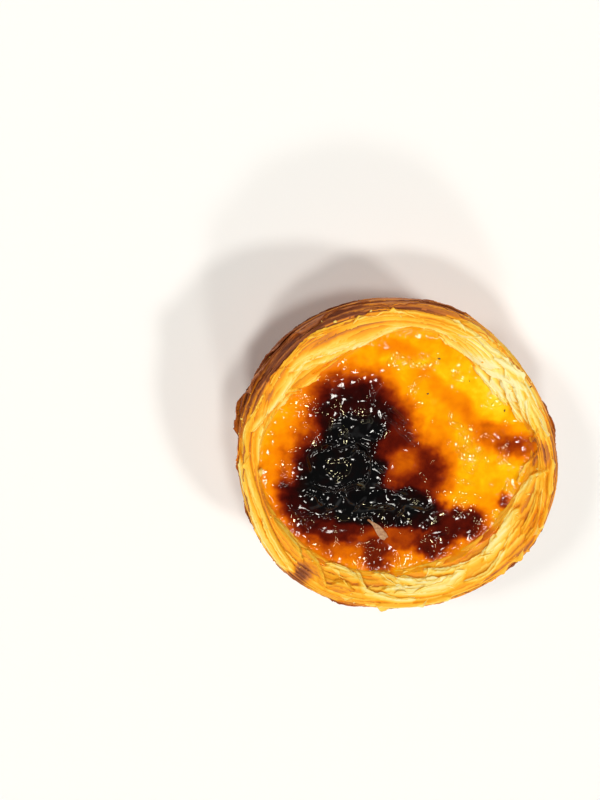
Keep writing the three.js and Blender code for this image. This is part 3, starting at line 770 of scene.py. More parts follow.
def custard_height(x, y, edge):
    """Height of the custard's skin, for places inside an edge of the given radius."""
    # the line where the flat middle starts to rise wanders in and out
    inward = edge - np.hypot(x, y)
    wander = 1.1 * grain(x, y, 4.5, 68) + 0.5 * grain(x, y, 1.7, 69)
    uneven = inward + smoothstep(inward, 0, 1.5) * wander
    calm = smoothstep(uneven, 0, 3.5)
    height = CUSTARD_HEIGHT - 0.9 - 0.3 * smoothstep(uneven, 0, 6.0)
    from_end = np.maximum(uneven, -EDGE_REACH) + EDGE_REACH
    height += edge_creep(np.arctan2(y, x)) * np.exp(-from_end / CREEP_FADE)
    height += calm * 0.12 * ripple(x, y, 11, 9.0, 7)
    for blister in BLISTERS:
        reach = patch_reach(blister, x, y)
        spokes = 3 * np.arctan2(y - blister[1], x - blister[0])
        wrinkle = 1 + 0.06 * smoothstep(reach, 0, 0.5) * np.cos(7 * reach + spokes)
        height += calm * blister[5] * (1 - smoothstep(reach, 0.35, 1.15)) * wrinkle
    height += crease_height(x, y)
    charred = smoothstep(burn_at(x, y), *CHARRED)
    bent_x, bent_y = warped(x, y, (1.3, 4.2, 61))
    fold = np.sqrt(grain(bent_x, bent_y, 5.2, 63) ** 2 + 0.03)
    pleat = np.sqrt(grain(bent_x, bent_y, 3.4, 64) ** 2 + 0.06)
    # the great blister is squarish, smooth on top and has a thin raised outline
    across = ((x + 2 * bent_x) / 3 - GREAT_DOME[0]) / GREAT_DOME[2]
    along = ((y + 2 * bent_y) / 3 - GREAT_DOME[1]) / GREAT_DOME[3]
    square = (across**4 + along**4) ** 0.25
    dome = 1 - smoothstep(square, 0.85, 1.05)
    height += charred * calm * (1 - 0.92 * dome) * (0.5 - 1.3 * fold - 0.22 * pleat)
    height += 0.25 * dome + 0.38 * np.exp(-(((square - 1) / 0.08) ** 2))
    height += calm * (1 - charred) * (0.02 + 0.30 * bubbling(x, y)) * grain(x, y, 1.9, 66)
    height += calm * 0.06 * (1 - 0.8 * charred) * layered_grain(x, y, 3.2, 67, 2)
    height += (1 - calm) * 0.14 * grain(x, y, 1.5, 70)
    eye = 1 - smoothstep(patch_reach(EYE, x, y), 0.6, 1.15)
    smooth_eye = CUSTARD_HEIGHT - 1.55 + 0.3 * patch_reach(EYE, x, y) ** 2
    return height * (1 - eye) + smooth_eye * eye


def edge_radius(angle):
    """Where the custard meets the pastry."""
    return CUSTARD_RADIUS + wobble(CUSTARD_WOBBLE, angle)


# ---- mesh helpers --------------------------------------------------------------------------
def only(obj):
    bpy.ops.object.select_all(action="DESELECT")
    obj.select_set(True)
    bpy.context.view_layer.objects.active = obj


def read_points(obj):
    points = np.empty(len(obj.data.vertices) * 3)
    obj.data.vertices.foreach_get("co", points)
    return points.reshape(-1, 3)


def write_points(obj, x, y, height):
    """Puts the vertices at places given in millimetres round the middle of the base."""
    points = np.column_stack([x + BASE_CENTRE[0], y + BASE_CENTRE[1], height]) * MM
    obj.data.vertices.foreach_set("co", points.ravel())
    obj.data.update()


def plan_places(obj):
    """Where the vertices are, in millimetres round the middle of the base."""
    points = read_points(obj) / MM
    return points[:, 0] - BASE_CENTRE[0], points[:, 1] - BASE_CENTRE[1]


def store(obj, name, values):
    """Keeps a value for each vertex, for the material to read."""
    attribute = obj.data.attributes.new(name, "FLOAT", "POINT")
    values = np.broadcast_to(values, len(obj.data.vertices)).astype(np.float32)
    attribute.data.foreach_set("value", values)


def new_grid(columns, rows, size=1):
    """A flat grid of faces round the origin."""
    bpy.ops.object.select_all(action="DESELECT")
    bpy.ops.mesh.primitive_grid_add(x_subdivisions=columns, y_subdivisions=rows, size=size)
    return bpy.context.object


def thicken(obj, thickness, offset=-1):
    """Gives a sheet a thickness in millimetres; the offset says to which side it goes."""
    solidify = obj.modifiers.new("thickness", "SOLIDIFY")
    solidify.thickness = thickness * MM
    solidify.offset = offset
    only(obj)
    bpy.ops.object.modifier_apply(modifier=solidify.name)


def join(objects, name):
    bpy.ops.object.select_all(action="DESELECT")
    for obj in objects:
        obj.select_set(True)
    bpy.context.view_layer.objects.active = objects[0]
    bpy.ops.object.join()
    joined = bpy.context.view_layer.objects.active
    rename(joined, name)
    return joined


def rename(obj, name):
    obj.name = name
    obj.data.name = name


def smooth(obj):
    only(obj)
    bpy.ops.object.shade_smooth()


FOLD_ANGLE = 50


def smooth_but_folds(obj):
    """Smooth shading, but edges that fold by more than FOLD_ANGLE degrees stay sharp."""
    only(obj)
    bpy.ops.object.shade_smooth_by_angle(angle=math.radians(FOLD_ANGLE))


def dress(obj, material, replaces=None):
    """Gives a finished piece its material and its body."""
    obj.data.materials.clear()
    obj.data.materials.append(material)
    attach(obj, "root")
    if replaces:
        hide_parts(replaces)


# ---- materials -----------------------------------------------------------------------------
def srgb(red, green, blue):
    """A colour from screen values of 0 to 255."""
    def linear(value):
        value /= 255
        return value / 12.92 if value <= 0.04045 else ((value + 0.055) / 1.055) ** 2.4

    return (linear(red), linear(green), linear(blue), 1.0)


class Recipe:
    """A new material with short ways to add and link its nodes."""

    def __init__(self, name):
        self.material = bpy.data.materials.new(name)
        self.material.use_nodes = True
        self.tree = self.material.node_tree
        self.shader = self.tree.nodes["Principled BSDF"]

    def node(self, kind, **settings):
        node = self.tree.nodes.new(kind)
        for key, value in settings.items():
            setattr(node, key, value)
        return node

    def link(self, output, target):
        self.tree.links.new(output, target)

    def attribute(self, name):
        return self.node("ShaderNodeAttribute", attribute_name=name).outputs["Fac"]

    def math(self, operation, first, second):
        node = self.node("ShaderNodeMath", operation=operation)
        for socket, value in zip(node.inputs, (first, second)):
            if isinstance(value, (int, float)):
                socket.default_value = value
            else:
                self.link(value, socket)
        return node.outputs[0]

    def noise_at(self, place, scale, detail, rough):
        noise = self.node("ShaderNodeTexNoise")
        noise.inputs["Scale"].default_value = scale
        noise.inputs["Detail"].default_value = detail
        noise.inputs["Roughness"].default_value = rough
        self.link(place, noise.inputs["Vector"])
        return noise.outputs["Fac"]

    def noise(self, scale, detail=3.0, rough=0.55):
        """Noise on object coordinates, about 0 to 1; scale is in cells a metre."""
        place = self.node("ShaderNodeTexCoord").outputs["Object"]
        return self.noise_at(place, scale, detail, rough)

    def along_layers(self, along, across):
        """Noise drawn out along the layers of the dough, about 0 to 1."""
        place = self.node("ShaderNodeVectorMath", operation="MULTIPLY")
        self.link(self.node("ShaderNodeTexCoord").outputs["Object"], place.inputs[0])
        place.inputs[1].default_value = (along, along, 0)
        layer = self.node("ShaderNodeCombineXYZ")
        self.link(self.math("MULTIPLY", self.attribute("layer"), across), layer.inputs["Z"])
        both = self.node("ShaderNodeVectorMath", operation="ADD")
        self.link(place.outputs[0], both.inputs[0])
        self.link(layer.outputs[0], both.inputs[1])
        return self.noise_at(both.outputs[0], 1.0, 3.0, 0.6)

    def centred(self, noise, amount):
        """Noise moved down to swing round 0, by about half the amount each way."""
        return self.math("MULTIPLY", self.math("SUBTRACT", noise, 0.5), amount)

    def swing(self, scale, amount, detail=3.0, rough=0.55):
        return self.centred(self.noise(scale, detail, rough), amount)

    def ramp(self, value, stops):
        ramp = self.node("ShaderNodeValToRGB")
        points = ramp.color_ramp.elements
        while len(points) < len(stops):
            points.new(0.5)
        for point, (place, colour) in zip(points, stops):
            point.position = place
            point.color = colour
        self.link(value, ramp.inputs["Fac"])
        return ramp.outputs["Color"]

    def bump(self, height, strength, distance, under=None):
        bump = self.node("ShaderNodeBump")
        bump.inputs["Strength"].default_value = strength
        bump.inputs["Distance"].default_value = distance
        self.link(height, bump.inputs["Height"])
        if under:
            self.link(under, bump.inputs["Normal"])
        return bump.outputs["Normal"]

    def set(self, **values):
        for key, value in values.items():
            self.shader.inputs[key.replace("_", " ")].default_value = value


def baked_custard(name, roughness, ior, shine):
    """Custard from yellow through caramel brown to black, with the colour of its shine."""
    recipe = Recipe(name)
    burn = recipe.attribute("burn")
    tint = recipe.attribute("tint")
    gold = recipe.math("MULTIPLY", tint, 0.30)
    shade = recipe.math("ADD", recipe.math("ADD", burn, gold), recipe.swing(420.0, 0.18, 5.0, 0.6))
    # shades from -0.14, the yellowest, to 1, black, fill the ramp from 0 to 1
    shade = recipe.math("MULTIPLY", recipe.math("ADD", shade, 0.14), 0.877)
    colour = recipe.ramp(shade, (
        (0.00, srgb(255, 222, 40)),
        (0.06, srgb(255, 196, 10)),
        (0.13, srgb(255, 168, 2)),
        (0.22, srgb(250, 142, 2)),
        (0.32, srgb(234, 118, 2)),
        (0.40, srgb(208, 98, 2)),
        (0.48, srgb(178, 70, 4)),
        (0.58, srgb(134, 40, 6)),
        (0.68, srgb(92, 18, 5)),
        (0.78, srgb(52, 6, 4)),
        (0.88, srgb(24, 6, 5)),
        (1.00, srgb(9, 9, 10)),
    ))
    recipe.link(colour, recipe.shader.inputs["Base Color"])
    gloss = recipe.math("ADD", recipe.swing(300.0, 0.8 * roughness), roughness)
    gloss = recipe.math("ADD", gloss, recipe.math("MULTIPLY", recipe.attribute("dull"), 0.12))
    recipe.link(gloss, recipe.shader.inputs["Roughness"])
    fine = recipe.bump(recipe.noise(700.0, 2.0), 0.08, 0.0003)
    recipe.link(fine, recipe.shader.inputs["Normal"])
    recipe.set(IOR=ior, Specular_Tint=shine)
    return recipe.material


def baked_dough(name):
    """Pastry, from cream on the torn edges through gold to toasted brown."""
    recipe = Recipe(name)
    # the bake attribute holds painted shade of the rim's layers and leaves as well as the bake
    bake_and_painted_shade = recipe.attribute("bake_and_painted_shade")
    lines = recipe.along_layers(110.0, 2.2)
    shade = recipe.math("ADD", bake_and_painted_shade, recipe.centred(lines, 0.30))
    shade = recipe.math("ADD", shade, recipe.swing(1100.0, 0.12, 4.0, 0.65))
    colour = recipe.ramp(shade, (
        (0.00, srgb(255, 242, 178)),
        (0.10, srgb(255, 231, 134)),
        (0.22, srgb(255, 213, 86)),
        (0.34, srgb(255, 192, 46)),
        (0.46, srgb(252, 168, 16)),
        (0.56, srgb(238, 146, 18)),
        (0.66, srgb(208, 124, 44)),
        (0.76, srgb(180, 102, 46)),
        (0.88, srgb(134, 68, 30)),
        (1.00, srgb(92, 40, 18)),
    ))
    recipe.link(colour, recipe.shader.inputs["Base Color"])
    layered = recipe.bump(lines, 0.6, 0.0002)
    fine = recipe.bump(recipe.noise(2400.0, 4.0, 0.7), 0.35, 0.0002, layered)
    recipe.link(fine, recipe.shader.inputs["Normal"])
    recipe.set(Roughness=0.5, IOR=1.42, Specular_IOR_Level=0.3)
    return recipe.material


def mottled(name, colour, pale, roughness):
    """Two colours mixed by noise."""
    recipe = Recipe(name)
    mixed = recipe.ramp(recipe.noise(1800.0), ((0.3, colour), (0.75, pale)))
    recipe.link(mixed, recipe.shader.inputs["Base Color"])
    recipe.link(recipe.bump(recipe.noise(3000.0), 0.4, 0.0002), recipe.shader.inputs["Normal"])
    recipe.set(Roughness=roughness)
    return recipe.material


# ---- the pastry cup ------------------------------------------------------------------------
# Steps round the cup, and the millimetres between its rows, on the rim and on the wall below it
CUP_STEPS = 600
RIM_STEP = 0.19
RIM_END = 13.5
WALL_STEP = 0.48
INNER_ROWS = 6
OVERLAP_DROP = 2.6
# Bake of the base and the inside, and the metres within which the ring's ends are merged
HIDDEN_BAKE = 0.6
MERGE_DISTANCE = 1e-6


def cup_rows():
    """Rows of the cup's section from the base to the floor: kind and place of each."""
    rows = [("base", 0.0), ("base", 0.55)]
    rows += [("outside", d) for d in np.arange(outer_section.length, RIM_END, -WALL_STEP)]
    rows += [("outside", d) for d in np.arange(RIM_END, -LIP_REACH, -RIM_STEP)]
    rows += [("inner", n / INNER_ROWS) for n in range(1, INNER_ROWS + 1)]
    rows += [("floor", 0.0)]
    return rows


def outside_of_cup(angle, distance):
    """Radius, height and bake of the cup's rim and outer wall; the bake holds painted shade of the
    layers and leaves.
    """
    level, bake_and_painted_shade, cover = leaf_pattern(angle, distance)
    wall = smoothstep(distance, 10, 14)
    low = smoothstep(distance, 14, 22)
    push = level + 0.30 * wall * (1 - 0.7 * low) * strata(angle, distance, 16, 2.4, 85)
    lumps = 0.28 * strata(angle, distance, 7, 6, 83)
    lumps += 0.09 * strata(angle, distance, 2.2, 1.8, 82)
    push += low * lumps
    push *= 1 - smoothstep(distance, outer_section.length - 3, outer_section.length)
    # where no leaf reaches over the custard, the cup goes down behind it
    push -= OVERLAP_DROP * smoothstep(-distance, 0, 1.2) * (1 - cover)
    radius, height = outer_point(angle, distance, push)
    bake_and_painted_shade += wall * (0.15 + 0.14 * strata(angle, distance, 18, 5, 84))
    bake_and_painted_shade += 0.08 * wall * (1 - low) * strata(angle, distance, 7, 1.4, 83)
    bake_and_painted_shade = np.minimum(bake_and_painted_shade + toast_at(angle, distance), 0.93)
    return radius, np.maximum(height, 0), bake_and_painted_shade


def pastry_cup(material):
    """The cup: a flat sheet rolled into a ring, with rows from its base up and in to its floor."""
    rows = cup_rows()
    cup = new_grid(CUP_STEPS, len(rows) - 1)
    points = read_points(cup)
    angle = TURN * (points[:, 0] + 0.5)
    row = np.rint((points[:, 1] + 0.5) * (len(rows) - 1)).astype(int)
    kind = np.array([row_kind for row_kind, _ in rows])[row]
    place = np.array([row_place for _, row_place in rows])[row]
    radius = place * BASE_RADIUS
    height = np.where(kind == "floor", FLOOR_THICKNESS, 0.0)
    bake_and_painted_shade = np.full(len(angle), HIDDEN_BAKE)
    layer = np.zeros(len(angle))
    outside = kind == "outside"
    radius[outside], height[outside], bake_and_painted_shade[outside] = outside_of_cup(angle[outside], place[outside])
    layer[outside] = layer_count(angle[outside], place[outside])
    inner = kind == "inner"
    inner_radius, inner_height = inner_section.at(place[inner] * inner_section.length)[:2]
    radius[inner] = inner_radius + inner_shift(angle[inner], inner_height)
    height[inner] = inner_height
    write_points(cup, radius * np.cos(angle), radius * np.sin(angle), height)
    store(cup, "bake_and_painted_shade", bake_and_painted_shade)
    store(cup, "layer", layer)
    only(cup)
    bpy.ops.object.mode_set(mode="EDIT")
    bpy.ops.mesh.select_all(action="SELECT")
    bpy.ops.mesh.remove_doubles(threshold=MERGE_DISTANCE)
    bpy.ops.mesh.normals_make_consistent(inside=False)
    bpy.ops.object.mode_set(mode="OBJECT")
    rename(cup, "pastry_cup")
    smooth(cup)
    dress(cup, material, replaces="pastry_shell")


# ---- leaves of dough that stand free -------------------------------------------------------
FLAKE_THICKNESS = 0.22
FLAKE_STEP = 0.24
# How much deeper a thin leaf is painted along its free edge and steep side: painted shade
EDGE_PAINTED_SHADE = 0.24


def line_noise(place, size, seed):
    """Noise along a line."""
    return grain(place, np.full_like(place, 0.37 * size), size, seed)


def leaf_path(middle, half, place, drift=0, bend=0):
    """A path of three places: its ends drift apart across it and its middle bends outwards."""
    return (middle - half, place - drift), (middle, place + bend), (middle + half, place + drift)


def flat_leaf(path, width, side, rise, tone, seed, jag=0.3, rows=4):
    """A thin leaf lying on the rim: rooted along a path, with its frayed edge lifted."""
    degrees, places = np.array(path).T
    length = math.radians(degrees[-1] - degrees[0]) * BULGE_RADIUS
    leaf = new_grid(max(8, int(length / FLAKE_STEP)), rows)
    points = read_points(leaf)
    share = points[:, 0] + 0.5
    up = points[:, 1] + 0.5
    along = share * length
    here = degrees[0] + share * (degrees[-1] - degrees[0])
    angle = np.radians(here)
    root = np.interp(here, degrees, places) + 0.12 * line_noise(along, 3.0, seed)
    tips = np.clip(np.minimum(share, 1 - share) * length / (3.0 * width), 0, 1)
    ragged = 0.8 * line_noise(along, 3.6, seed + 1) + 0.6 * line_noise(along, 0.7, seed + 2)
    fray = 1 + jag * ragged
    bitten = 1 - 0.6 * smoothstep(line_noise(along, 5.5, seed + 3), 0.15, 0.5)
    reach = width * np.clip(fray, 0.3, 1.7) * bitten * (0.12 + 0.88 * tips)
    distance = root + side * up * reach
    level_below = leaf_pattern(angle, distance)[0]
    level_root = leaf_pattern(angle, root)[0]
    push = np.maximum(level_below, level_root - 0.4 * up) - 0.14 * (1 - up) ** 2
    push += rise * up**1.4 * smoothstep(tips, 0, 1) * (1 + 0.5 * line_noise(along, 3.5, seed + 4))
    push += 0.10 * up * line_noise(along, 1.4, seed + 5)
    radius, height = outer_point(angle, distance, push)
    write_points(leaf, radius * np.cos(angle), radius * np.sin(angle), height)
    # painted shade: a leaf is deeper towards its root and along its free edge, with tone that
    # wanders along it
    shade = tone - 0.04 + 0.24 * (1 - up) + 0.10 * line_noise(along, 5.0, seed + 7)
    shade += EDGE_PAINTED_SHADE * smoothstep(up, 0.8, 1)
    store(leaf, "bake_and_painted_shade", np.minimum(shade + 0.85 * toast_at(angle, distance), 0.88))
    store(leaf, "layer", layer_count(angle, distance) + 0.37 * seed)
    # the thickness goes down towards the layer under it, whichever way the leaf faces
    thicken(leaf, FLAKE_THICKNESS, side)
    return leaf


def finish_leaves(leaves, name, material):
    piece = join(leaves, name)
    smooth_but_folds(piece)
    dress(piece, material)


def shifted(path, by):
    return tuple((degrees, place + by) for degrees, place in path)


# Leaves at least this wide, by half width, get a second layer
BROAD_LEAF = 0.9


def leaf_edges(material):
    """The thin free edge of every leaf on the rim, and a second layer on the broad ones."""
    leaves = []
    for number, (half, lift, tone, path) in enumerate(LEAVES):
        side = free_side(path)
        edge = shifted(path, 0.55 * side * half)
        leaves.append(flat_leaf(edge, 0.42 * half + 0.32, side, 0.04 + 0.14 * lift,
                                tone - 0.04, 1200 + 9 * number))
        if half >= BROAD_LEAF:
            back = shifted(path, -0.5 * side * half)
            leaves.append(flat_leaf(back, 0.6 * half, side, 0.04, tone + 0.02,
                                    1204 + 9 * number))
    finish_leaves(leaves, "leaf_edges", material)


WALL_RINGS = 6
SHINGLE_BAKE = 0.48
# Broad shingles that stand off the outer wall: angle, distance, half span, width, rise
SHINGLES = (
    (150, 12.4, 15, 3.0, 1.5),
    (162, 15.0, 13, 2.6, 1.6),
    (137, 13.6, 13, 2.6, 1.1),
    (124, 11.2, 13, 2.2, 0.8),
    (108, 12.0, 11, 2.0, 0.7),
    (93, 10.8, 10, 1.8, 0.5),
    (176, 12.6, 11, 2.2, 0.7),
    (204, 15.8, 16, 2.4, 0.7),
    (236, 20.5, 14, 2.2, 0.5),
    (252, 12.2, 11, 1.8, 0.5),
    (284, 17.0, 16, 2.4, 0.6),
    (318, 13.8, 12, 2.0, 0.6),
    (344, 19.5, 15, 2.4, 0.6),
    (14, 13.2, 12, 2.0, 0.6),
    (40, 18.0, 15, 2.4, 0.6),
    (74, 14.6, 13, 2.0, 0.6),
    (112, 21.0, 16, 2.4, 0.6),
    (158, 22.5, 15, 2.4, 0.6),
)


def wall_leaves(material):
    """Leaves of the outer wall below the rim, in long overlapping arcs."""
    leaves = []
    for ring in range(WALL_RINGS):
        distance = 8.8 + 1.7 * ring
        arcs = 6 + int(3 * hash01(700, ring))
        for n in range(arcs):
            tag = 720 + 31 * ring + 3 * n
            middle = 360 * (n + 0.7 * hash01(tag, 2)) / arcs
            half = 180 / arcs * (0.35 + 0.6 * hash01(tag, 1))
            start = distance + hash01(tag, 3)
            drift = -1.6 + 3.2 * hash01(tag, 7)
            path = leaf_path(middle, half, start, drift, 0.5 * hash01(tag, 9))
            width = 0.6 + 0.7 * hash01(tag, 4)
            rise = 0.10 + 0.2 * hash01(tag, 5)
            tone = 0.36 + 0.26 * hash01(tag, 8)
            leaves.append(flat_leaf(path, width, -1, rise, tone, tag, rows=3))
    for number, (middle, place, half, width, rise) in enumerate(SHINGLES):
        path = leaf_path(middle, half, place, 3.0 * (hash01(680, number) - 0.5))
        leaves.append(flat_leaf(path, width, -1, rise, SHINGLE_BAKE, 690 + 4 * number,
                                jag=0.22, rows=6))
    finish_leaves(leaves, "wall_leaves", material)


FLAP_BAKE = 0.14
# Flaps that stick out beyond the rim: angle, distance, half span in degrees, width, rise
FLAPS = (
    (38.5, 7.6, 3.2, 1.5, 0.9),
    (47.5, 7.4, 3.4, 1.6, 1.0),
    (290.5, 7.2, 3.0, 1.5, 0.7),
    (333.5, 7.6, 2.4, 1.5, 0.9),
    (354.5, 5.0, 2.6, 1.8, 0.8),
    (359.0, 7.4, 3.0, 1.2, 0.6),
    (284.0, 7.4, 2.4, 1.1, 0.4),
    (312.0, 6.8, 5.0, 1.6, 1.1),
    (320.0, 7.0, 4.0, 1.4, 0.9),
)
# Torn bits: angle from and to in degrees, how many, width, nearest and farthest distance
TORN_ZONES = (
    (238, 300, 16, 0.8, 0.8, 8.5),
    (300, 355, 10, 0.7, 3.0, 8.5),
    (10, 75, 14, 0.7, 1.5, 8.5),
    (75, 150, 5, 0.5, 6.0, 9.5),
    (150, 235, 6, 0.5, 4.0, 9.5),
    (0, 360, 22, 0.9, 17.0, 29.0),
)


def torn_bits(material):
    """Flaps that stick out beyond the rim, and small bits torn up on it and on the wall."""
    leaves = []
    for number, (at, place, half, width, rise) in enumerate(FLAPS):
        path = leaf_path(at, half, place, bend=0.2)
        leaves.append(flat_leaf(path, width, 1, rise, FLAP_BAKE, 1900 + 7 * number, rows=5))
    for zone, (start, end, count, width, nearest, farthest) in enumerate(TORN_ZONES):
        for n in range(count):
            tag = 2000 + 100 * zone + 3 * n
            middle = start + (end - start) * (n + hash01(tag, 1)) / count
            half = math.degrees((1.0 + 2.2 * hash01(tag, 2)) / BULGE_RADIUS)
            place = nearest + (farthest - nearest) * hash01(tag, 3)
            path = leaf_path(middle, half, place, -0.9 + 1.8 * hash01(tag, 7))
            side = -1 if place < 6 else 1
            rise = 0.2 + 0.7 * hash01(tag, 5)
            # bits on the wall below the rim are browner
            tone = 0.06 + 0.16 * hash01(tag, 8) + 0.34 * (place > RIM_END)
            leaves.append(flat_leaf(path, width * (0.5 + 0.7 * hash01(tag, 4)), side, rise,
                                    tone, tag, jag=0.4))
    finish_leaves(leaves, "torn_bits", material)


# ---- the custard ---------------------------------------------------------------------------
CUSTARD_GRID = 300
SIDE_ROWS = 4
# Gap between the custard's side and the cup, and how burnt that side is
SIDE_GAP = 0.2
SIDE_BURN = 0.1


def baked_filling(material):
    """The custard: a fine grid rounded to the pastry's line, with its skin in relief."""
    filling = new_grid(CUSTARD_GRID, CUSTARD_GRID, size=2)
    # The side goes down into the cup from the grid's border, and the underside closes it.
    bpy.ops.object.mode_set(mode="EDIT")
    bpy.ops.mesh.select_all(action="SELECT")
    bpy.ops.mesh.region_to_loop()
    for _ in range(SIDE_ROWS):
        bpy.ops.mesh.extrude_region_move(TRANSFORM_OT_translate={"value": (0, 0, -1)})
    bpy.ops.mesh.edge_face_add()
    bpy.ops.mesh.select_all(action="SELECT")
    bpy.ops.mesh.normals_make_consistent(inside=False)
    bpy.ops.object.mode_set(mode="OBJECT")
    points = read_points(filling)
    gx = points[:, 0]
    gy = points[:, 1]
    level = -points[:, 2]
    # The square is rounded to a disc ring by ring, keeping the grid even.
    ring = np.maximum(np.abs(gx), np.abs(gy))
    wide = np.abs(gx) >= np.abs(gy)
    part = np.where(wide, gy / np.where(gx == 0, 1, gx), gx / np.where(gy == 0, 1, gy))
    part = part * math.pi / 4
    angle = np.where(wide, np.where(gx >= 0, part, math.pi + part),
                     np.where(gy >= 0, math.pi / 2 - part, -math.pi / 2 - part))
    edge = edge_radius(angle)
    radius = ring * (edge + EDGE_REACH)
    x = radius * np.cos(angle)
    y = radius * np.sin(angle)
    height = custard_height(x, y, edge)
    side = level > 0.5
    below = inner_section.at(np.clip(level, 0, SIDE_ROWS) / SIDE_ROWS * inner_section.length)
    shrunk = below[0] + inner_shift(angle, below[1]) - SIDE_GAP
    x = np.where(side, shrunk * np.cos(angle), x)
    y = np.where(side, shrunk * np.sin(angle), y)
    height = np.where(side, below[1] + SIDE_GAP, height)
    write_points(filling, x, y, height)
    store(filling, "burn", np.where(side, SIDE_BURN, burn_at(x, y)))
    store(filling, "tint", tint_at(x, y))
    store(filling, "dull", 1 - smoothstep(edge - radius, 0, 2.0))
    rename(filling, "baked_filling")
    smooth(filling)
    dress(filling, material, replaces="custard")


# ---- small things on top -------------------------------------------------------------------
def scattered(name, places, detail, lumps=0.0):
    """Copies of one small starting shape, each placed, sized and turned, in one piece.

    A place is x, y, height, half size, flatness, length over width and turn.
    """
    bpy.ops.object.select_all(action="DESELECT")
    bpy.ops.mesh.primitive_ico_sphere_add(subdivisions=detail, radius=1)
    first = bpy.context.object
    shape = read_points(first).copy()
    copies = []
    for number, (x, y, z, size, flat, long, turn) in enumerate(places):
        copy = first.copy()
        copy.data = first.data.copy()
        bpy.context.collection.objects.link(copy)
        lump = 1 + lumps * (hash01(number + 0.5, np.arange(len(shape))) - 0.5)
        sx = shape[:, 0] * size * lump * long
        sy = shape[:, 1] * size * lump
        write_points(copy, x + sx * math.cos(turn) - sy * math.sin(turn),
                     y + sx * math.sin(turn) + sy * math.cos(turn),
                     z + shape[:, 2] * size * lump * flat)
        copies.append(copy)
    only(first)
    bpy.ops.object.delete()
    piece = join(copies, name)
    smooth(piece)
    return piece


def surface_height(x, y):
    x = np.atleast_1d(np.asarray(x, dtype=float))
    y = np.atleast_1d(np.asarray(y, dtype=float))
    return custard_height(x, y, edge_radius(np.arctan2(y, x)))


BEAD_SEED = 7
# Places tried for loose beads, and how far from the middle they reach
LOOSE_BEADS = 2200
BEAD_REACH = 29.0


def syrup_beads(material):
    """Beads of syrup: in strings along the folds and loose ones in clusters."""
    draw = np.random.default_rng(BEAD_SEED)
    # x, y, half size, length over width and turn of each bead
    spots = []
    for size, gap, points in BEAD_STRINGS:
        for (x0, y0), (x1, y1) in zip(points, points[1:]):
            length = math.hypot(x1 - x0, y1 - y0)
            turn = math.atan2(y1 - y0, x1 - x0)
            for n in range(max(1, round(length / gap))):
                t = (n + 0.3 * draw.random()) * gap / length
                aside = 0.12 * draw.standard_normal()
                spots.append((x0 + t * (x1 - x0) - aside * math.sin(turn),
                              y0 + t * (y1 - y0) + aside * math.cos(turn),
                              size * (0.8 + 0.6 * draw.random()), 1.2 + 1.4 * draw.random(), turn))
    angle = TURN * draw.random(LOOSE_BEADS)
    radius = BEAD_REACH * np.sqrt(draw.random(LOOSE_BEADS))
    x = radius * np.cos(angle)
    y = radius * np.sin(angle)
    chance = (0.03 + 0.36 * bubbling(x, y)) * (1 - 0.8 * smoothstep(burn_at(x, y), 0.7, 0.9))
    kept = (draw.random(LOOSE_BEADS) < chance) & (patch_reach(EYE, x, y) > 1.3)
    for px, py in zip(x[kept], y[kept]):
        spots.append((px, py, 0.18 + 0.32 * draw.random() ** 2,
                      1.0 + 1.4 * draw.random(), TURN * draw.random()))
    places = [(px, py, -0.02, 1.9 * size, 0.16, long, turn) for px, py, size, long, turn in spots]
    beads = scattered("syrup_beads", places, 2)
    # each bead lies down on the skin under it
    x, y = plan_places(beads)
    write_points(beads, x, y, read_points(beads)[:, 2] / MM + surface_height(x, y))
    store(beads, "burn", burn_at(x, y))
    store(beads, "tint", tint_at(x, y))
    store(beads, "dull", 0.0)
    dress(beads, material)


CRUMB_SEED = 8
CRUMB_COUNT = 130
LARGE_CRUMB = (-32.6, -1.2, 29.2, 0.9, 0.6, 1.4, 1.2)


def crumbs(material):
    """Crumbs of pastry caught on the rim and the outer wall, and one on the custard's edge."""
    draw = np.random.default_rng(CRUMB_SEED)
    places = [LARGE_CRUMB]
    angle = TURN * draw.random(CRUMB_COUNT)
    distance = 2.0 + 24 * draw.random(CRUMB_COUNT) ** 1.6
    level = leaf_pattern(angle, distance)[0]
    radius, height = outer_point(angle, distance, level * (distance < 11) + 0.1)
    for at, out, up in zip(angle, radius, height):
        places.append((out * math.cos(at), out * math.sin(at), up, 0.12 + 0.24 * draw.random() ** 2,
                       0.45, 1 + 1.2 * draw.random(), TURN * draw.random()))
    piece = scattered("crumbs", places, 1, lumps=0.5)
    x, y = plan_places(piece)
    store(piece, "bake_and_painted_shade", 0.2 + 0.25 * grain(x, y, 2.0, 95))
    dress(piece, material)


# Dark specks on the custard and the rim: x, y and half size
SPECKS = (
    (8.7, 24.5, 0.24),
    (6.4, 16.2, 0.2),
    (24.8, 11.6, 0.24),
    (29.0, 18.8, 0.2),
    (16.0, 19.0, 0.12),
)


def specks(material):
    """Burnt specks, which lie on the rim where they are outside the custard's edge."""
    places = []
    for x, y, size in SPECKS:
        angle = np.array([math.atan2(y, x)])
        inside = math.hypot(x, y) < edge_radius(angle)[0]
        if inside:
            height = surface_height(x, y)[0]
        else:
            distance = np.array([math.hypot(x, y) - edge_radius(angle)[0]])
            height = outer_point(angle, distance, np.array([0.6]))[1][0]
        places.append((x, y, height + 0.05, size, 0.5, 1.6, 5 * x))
    piece = scattered("dark_specks", places, 1, lumps=0.5)
    dress(piece, material)


FLAKE = {"x": -4.5, "y": -17.4, "turn": -46, "length": 6.8, "width": 1.7, "thickness": 0.15}


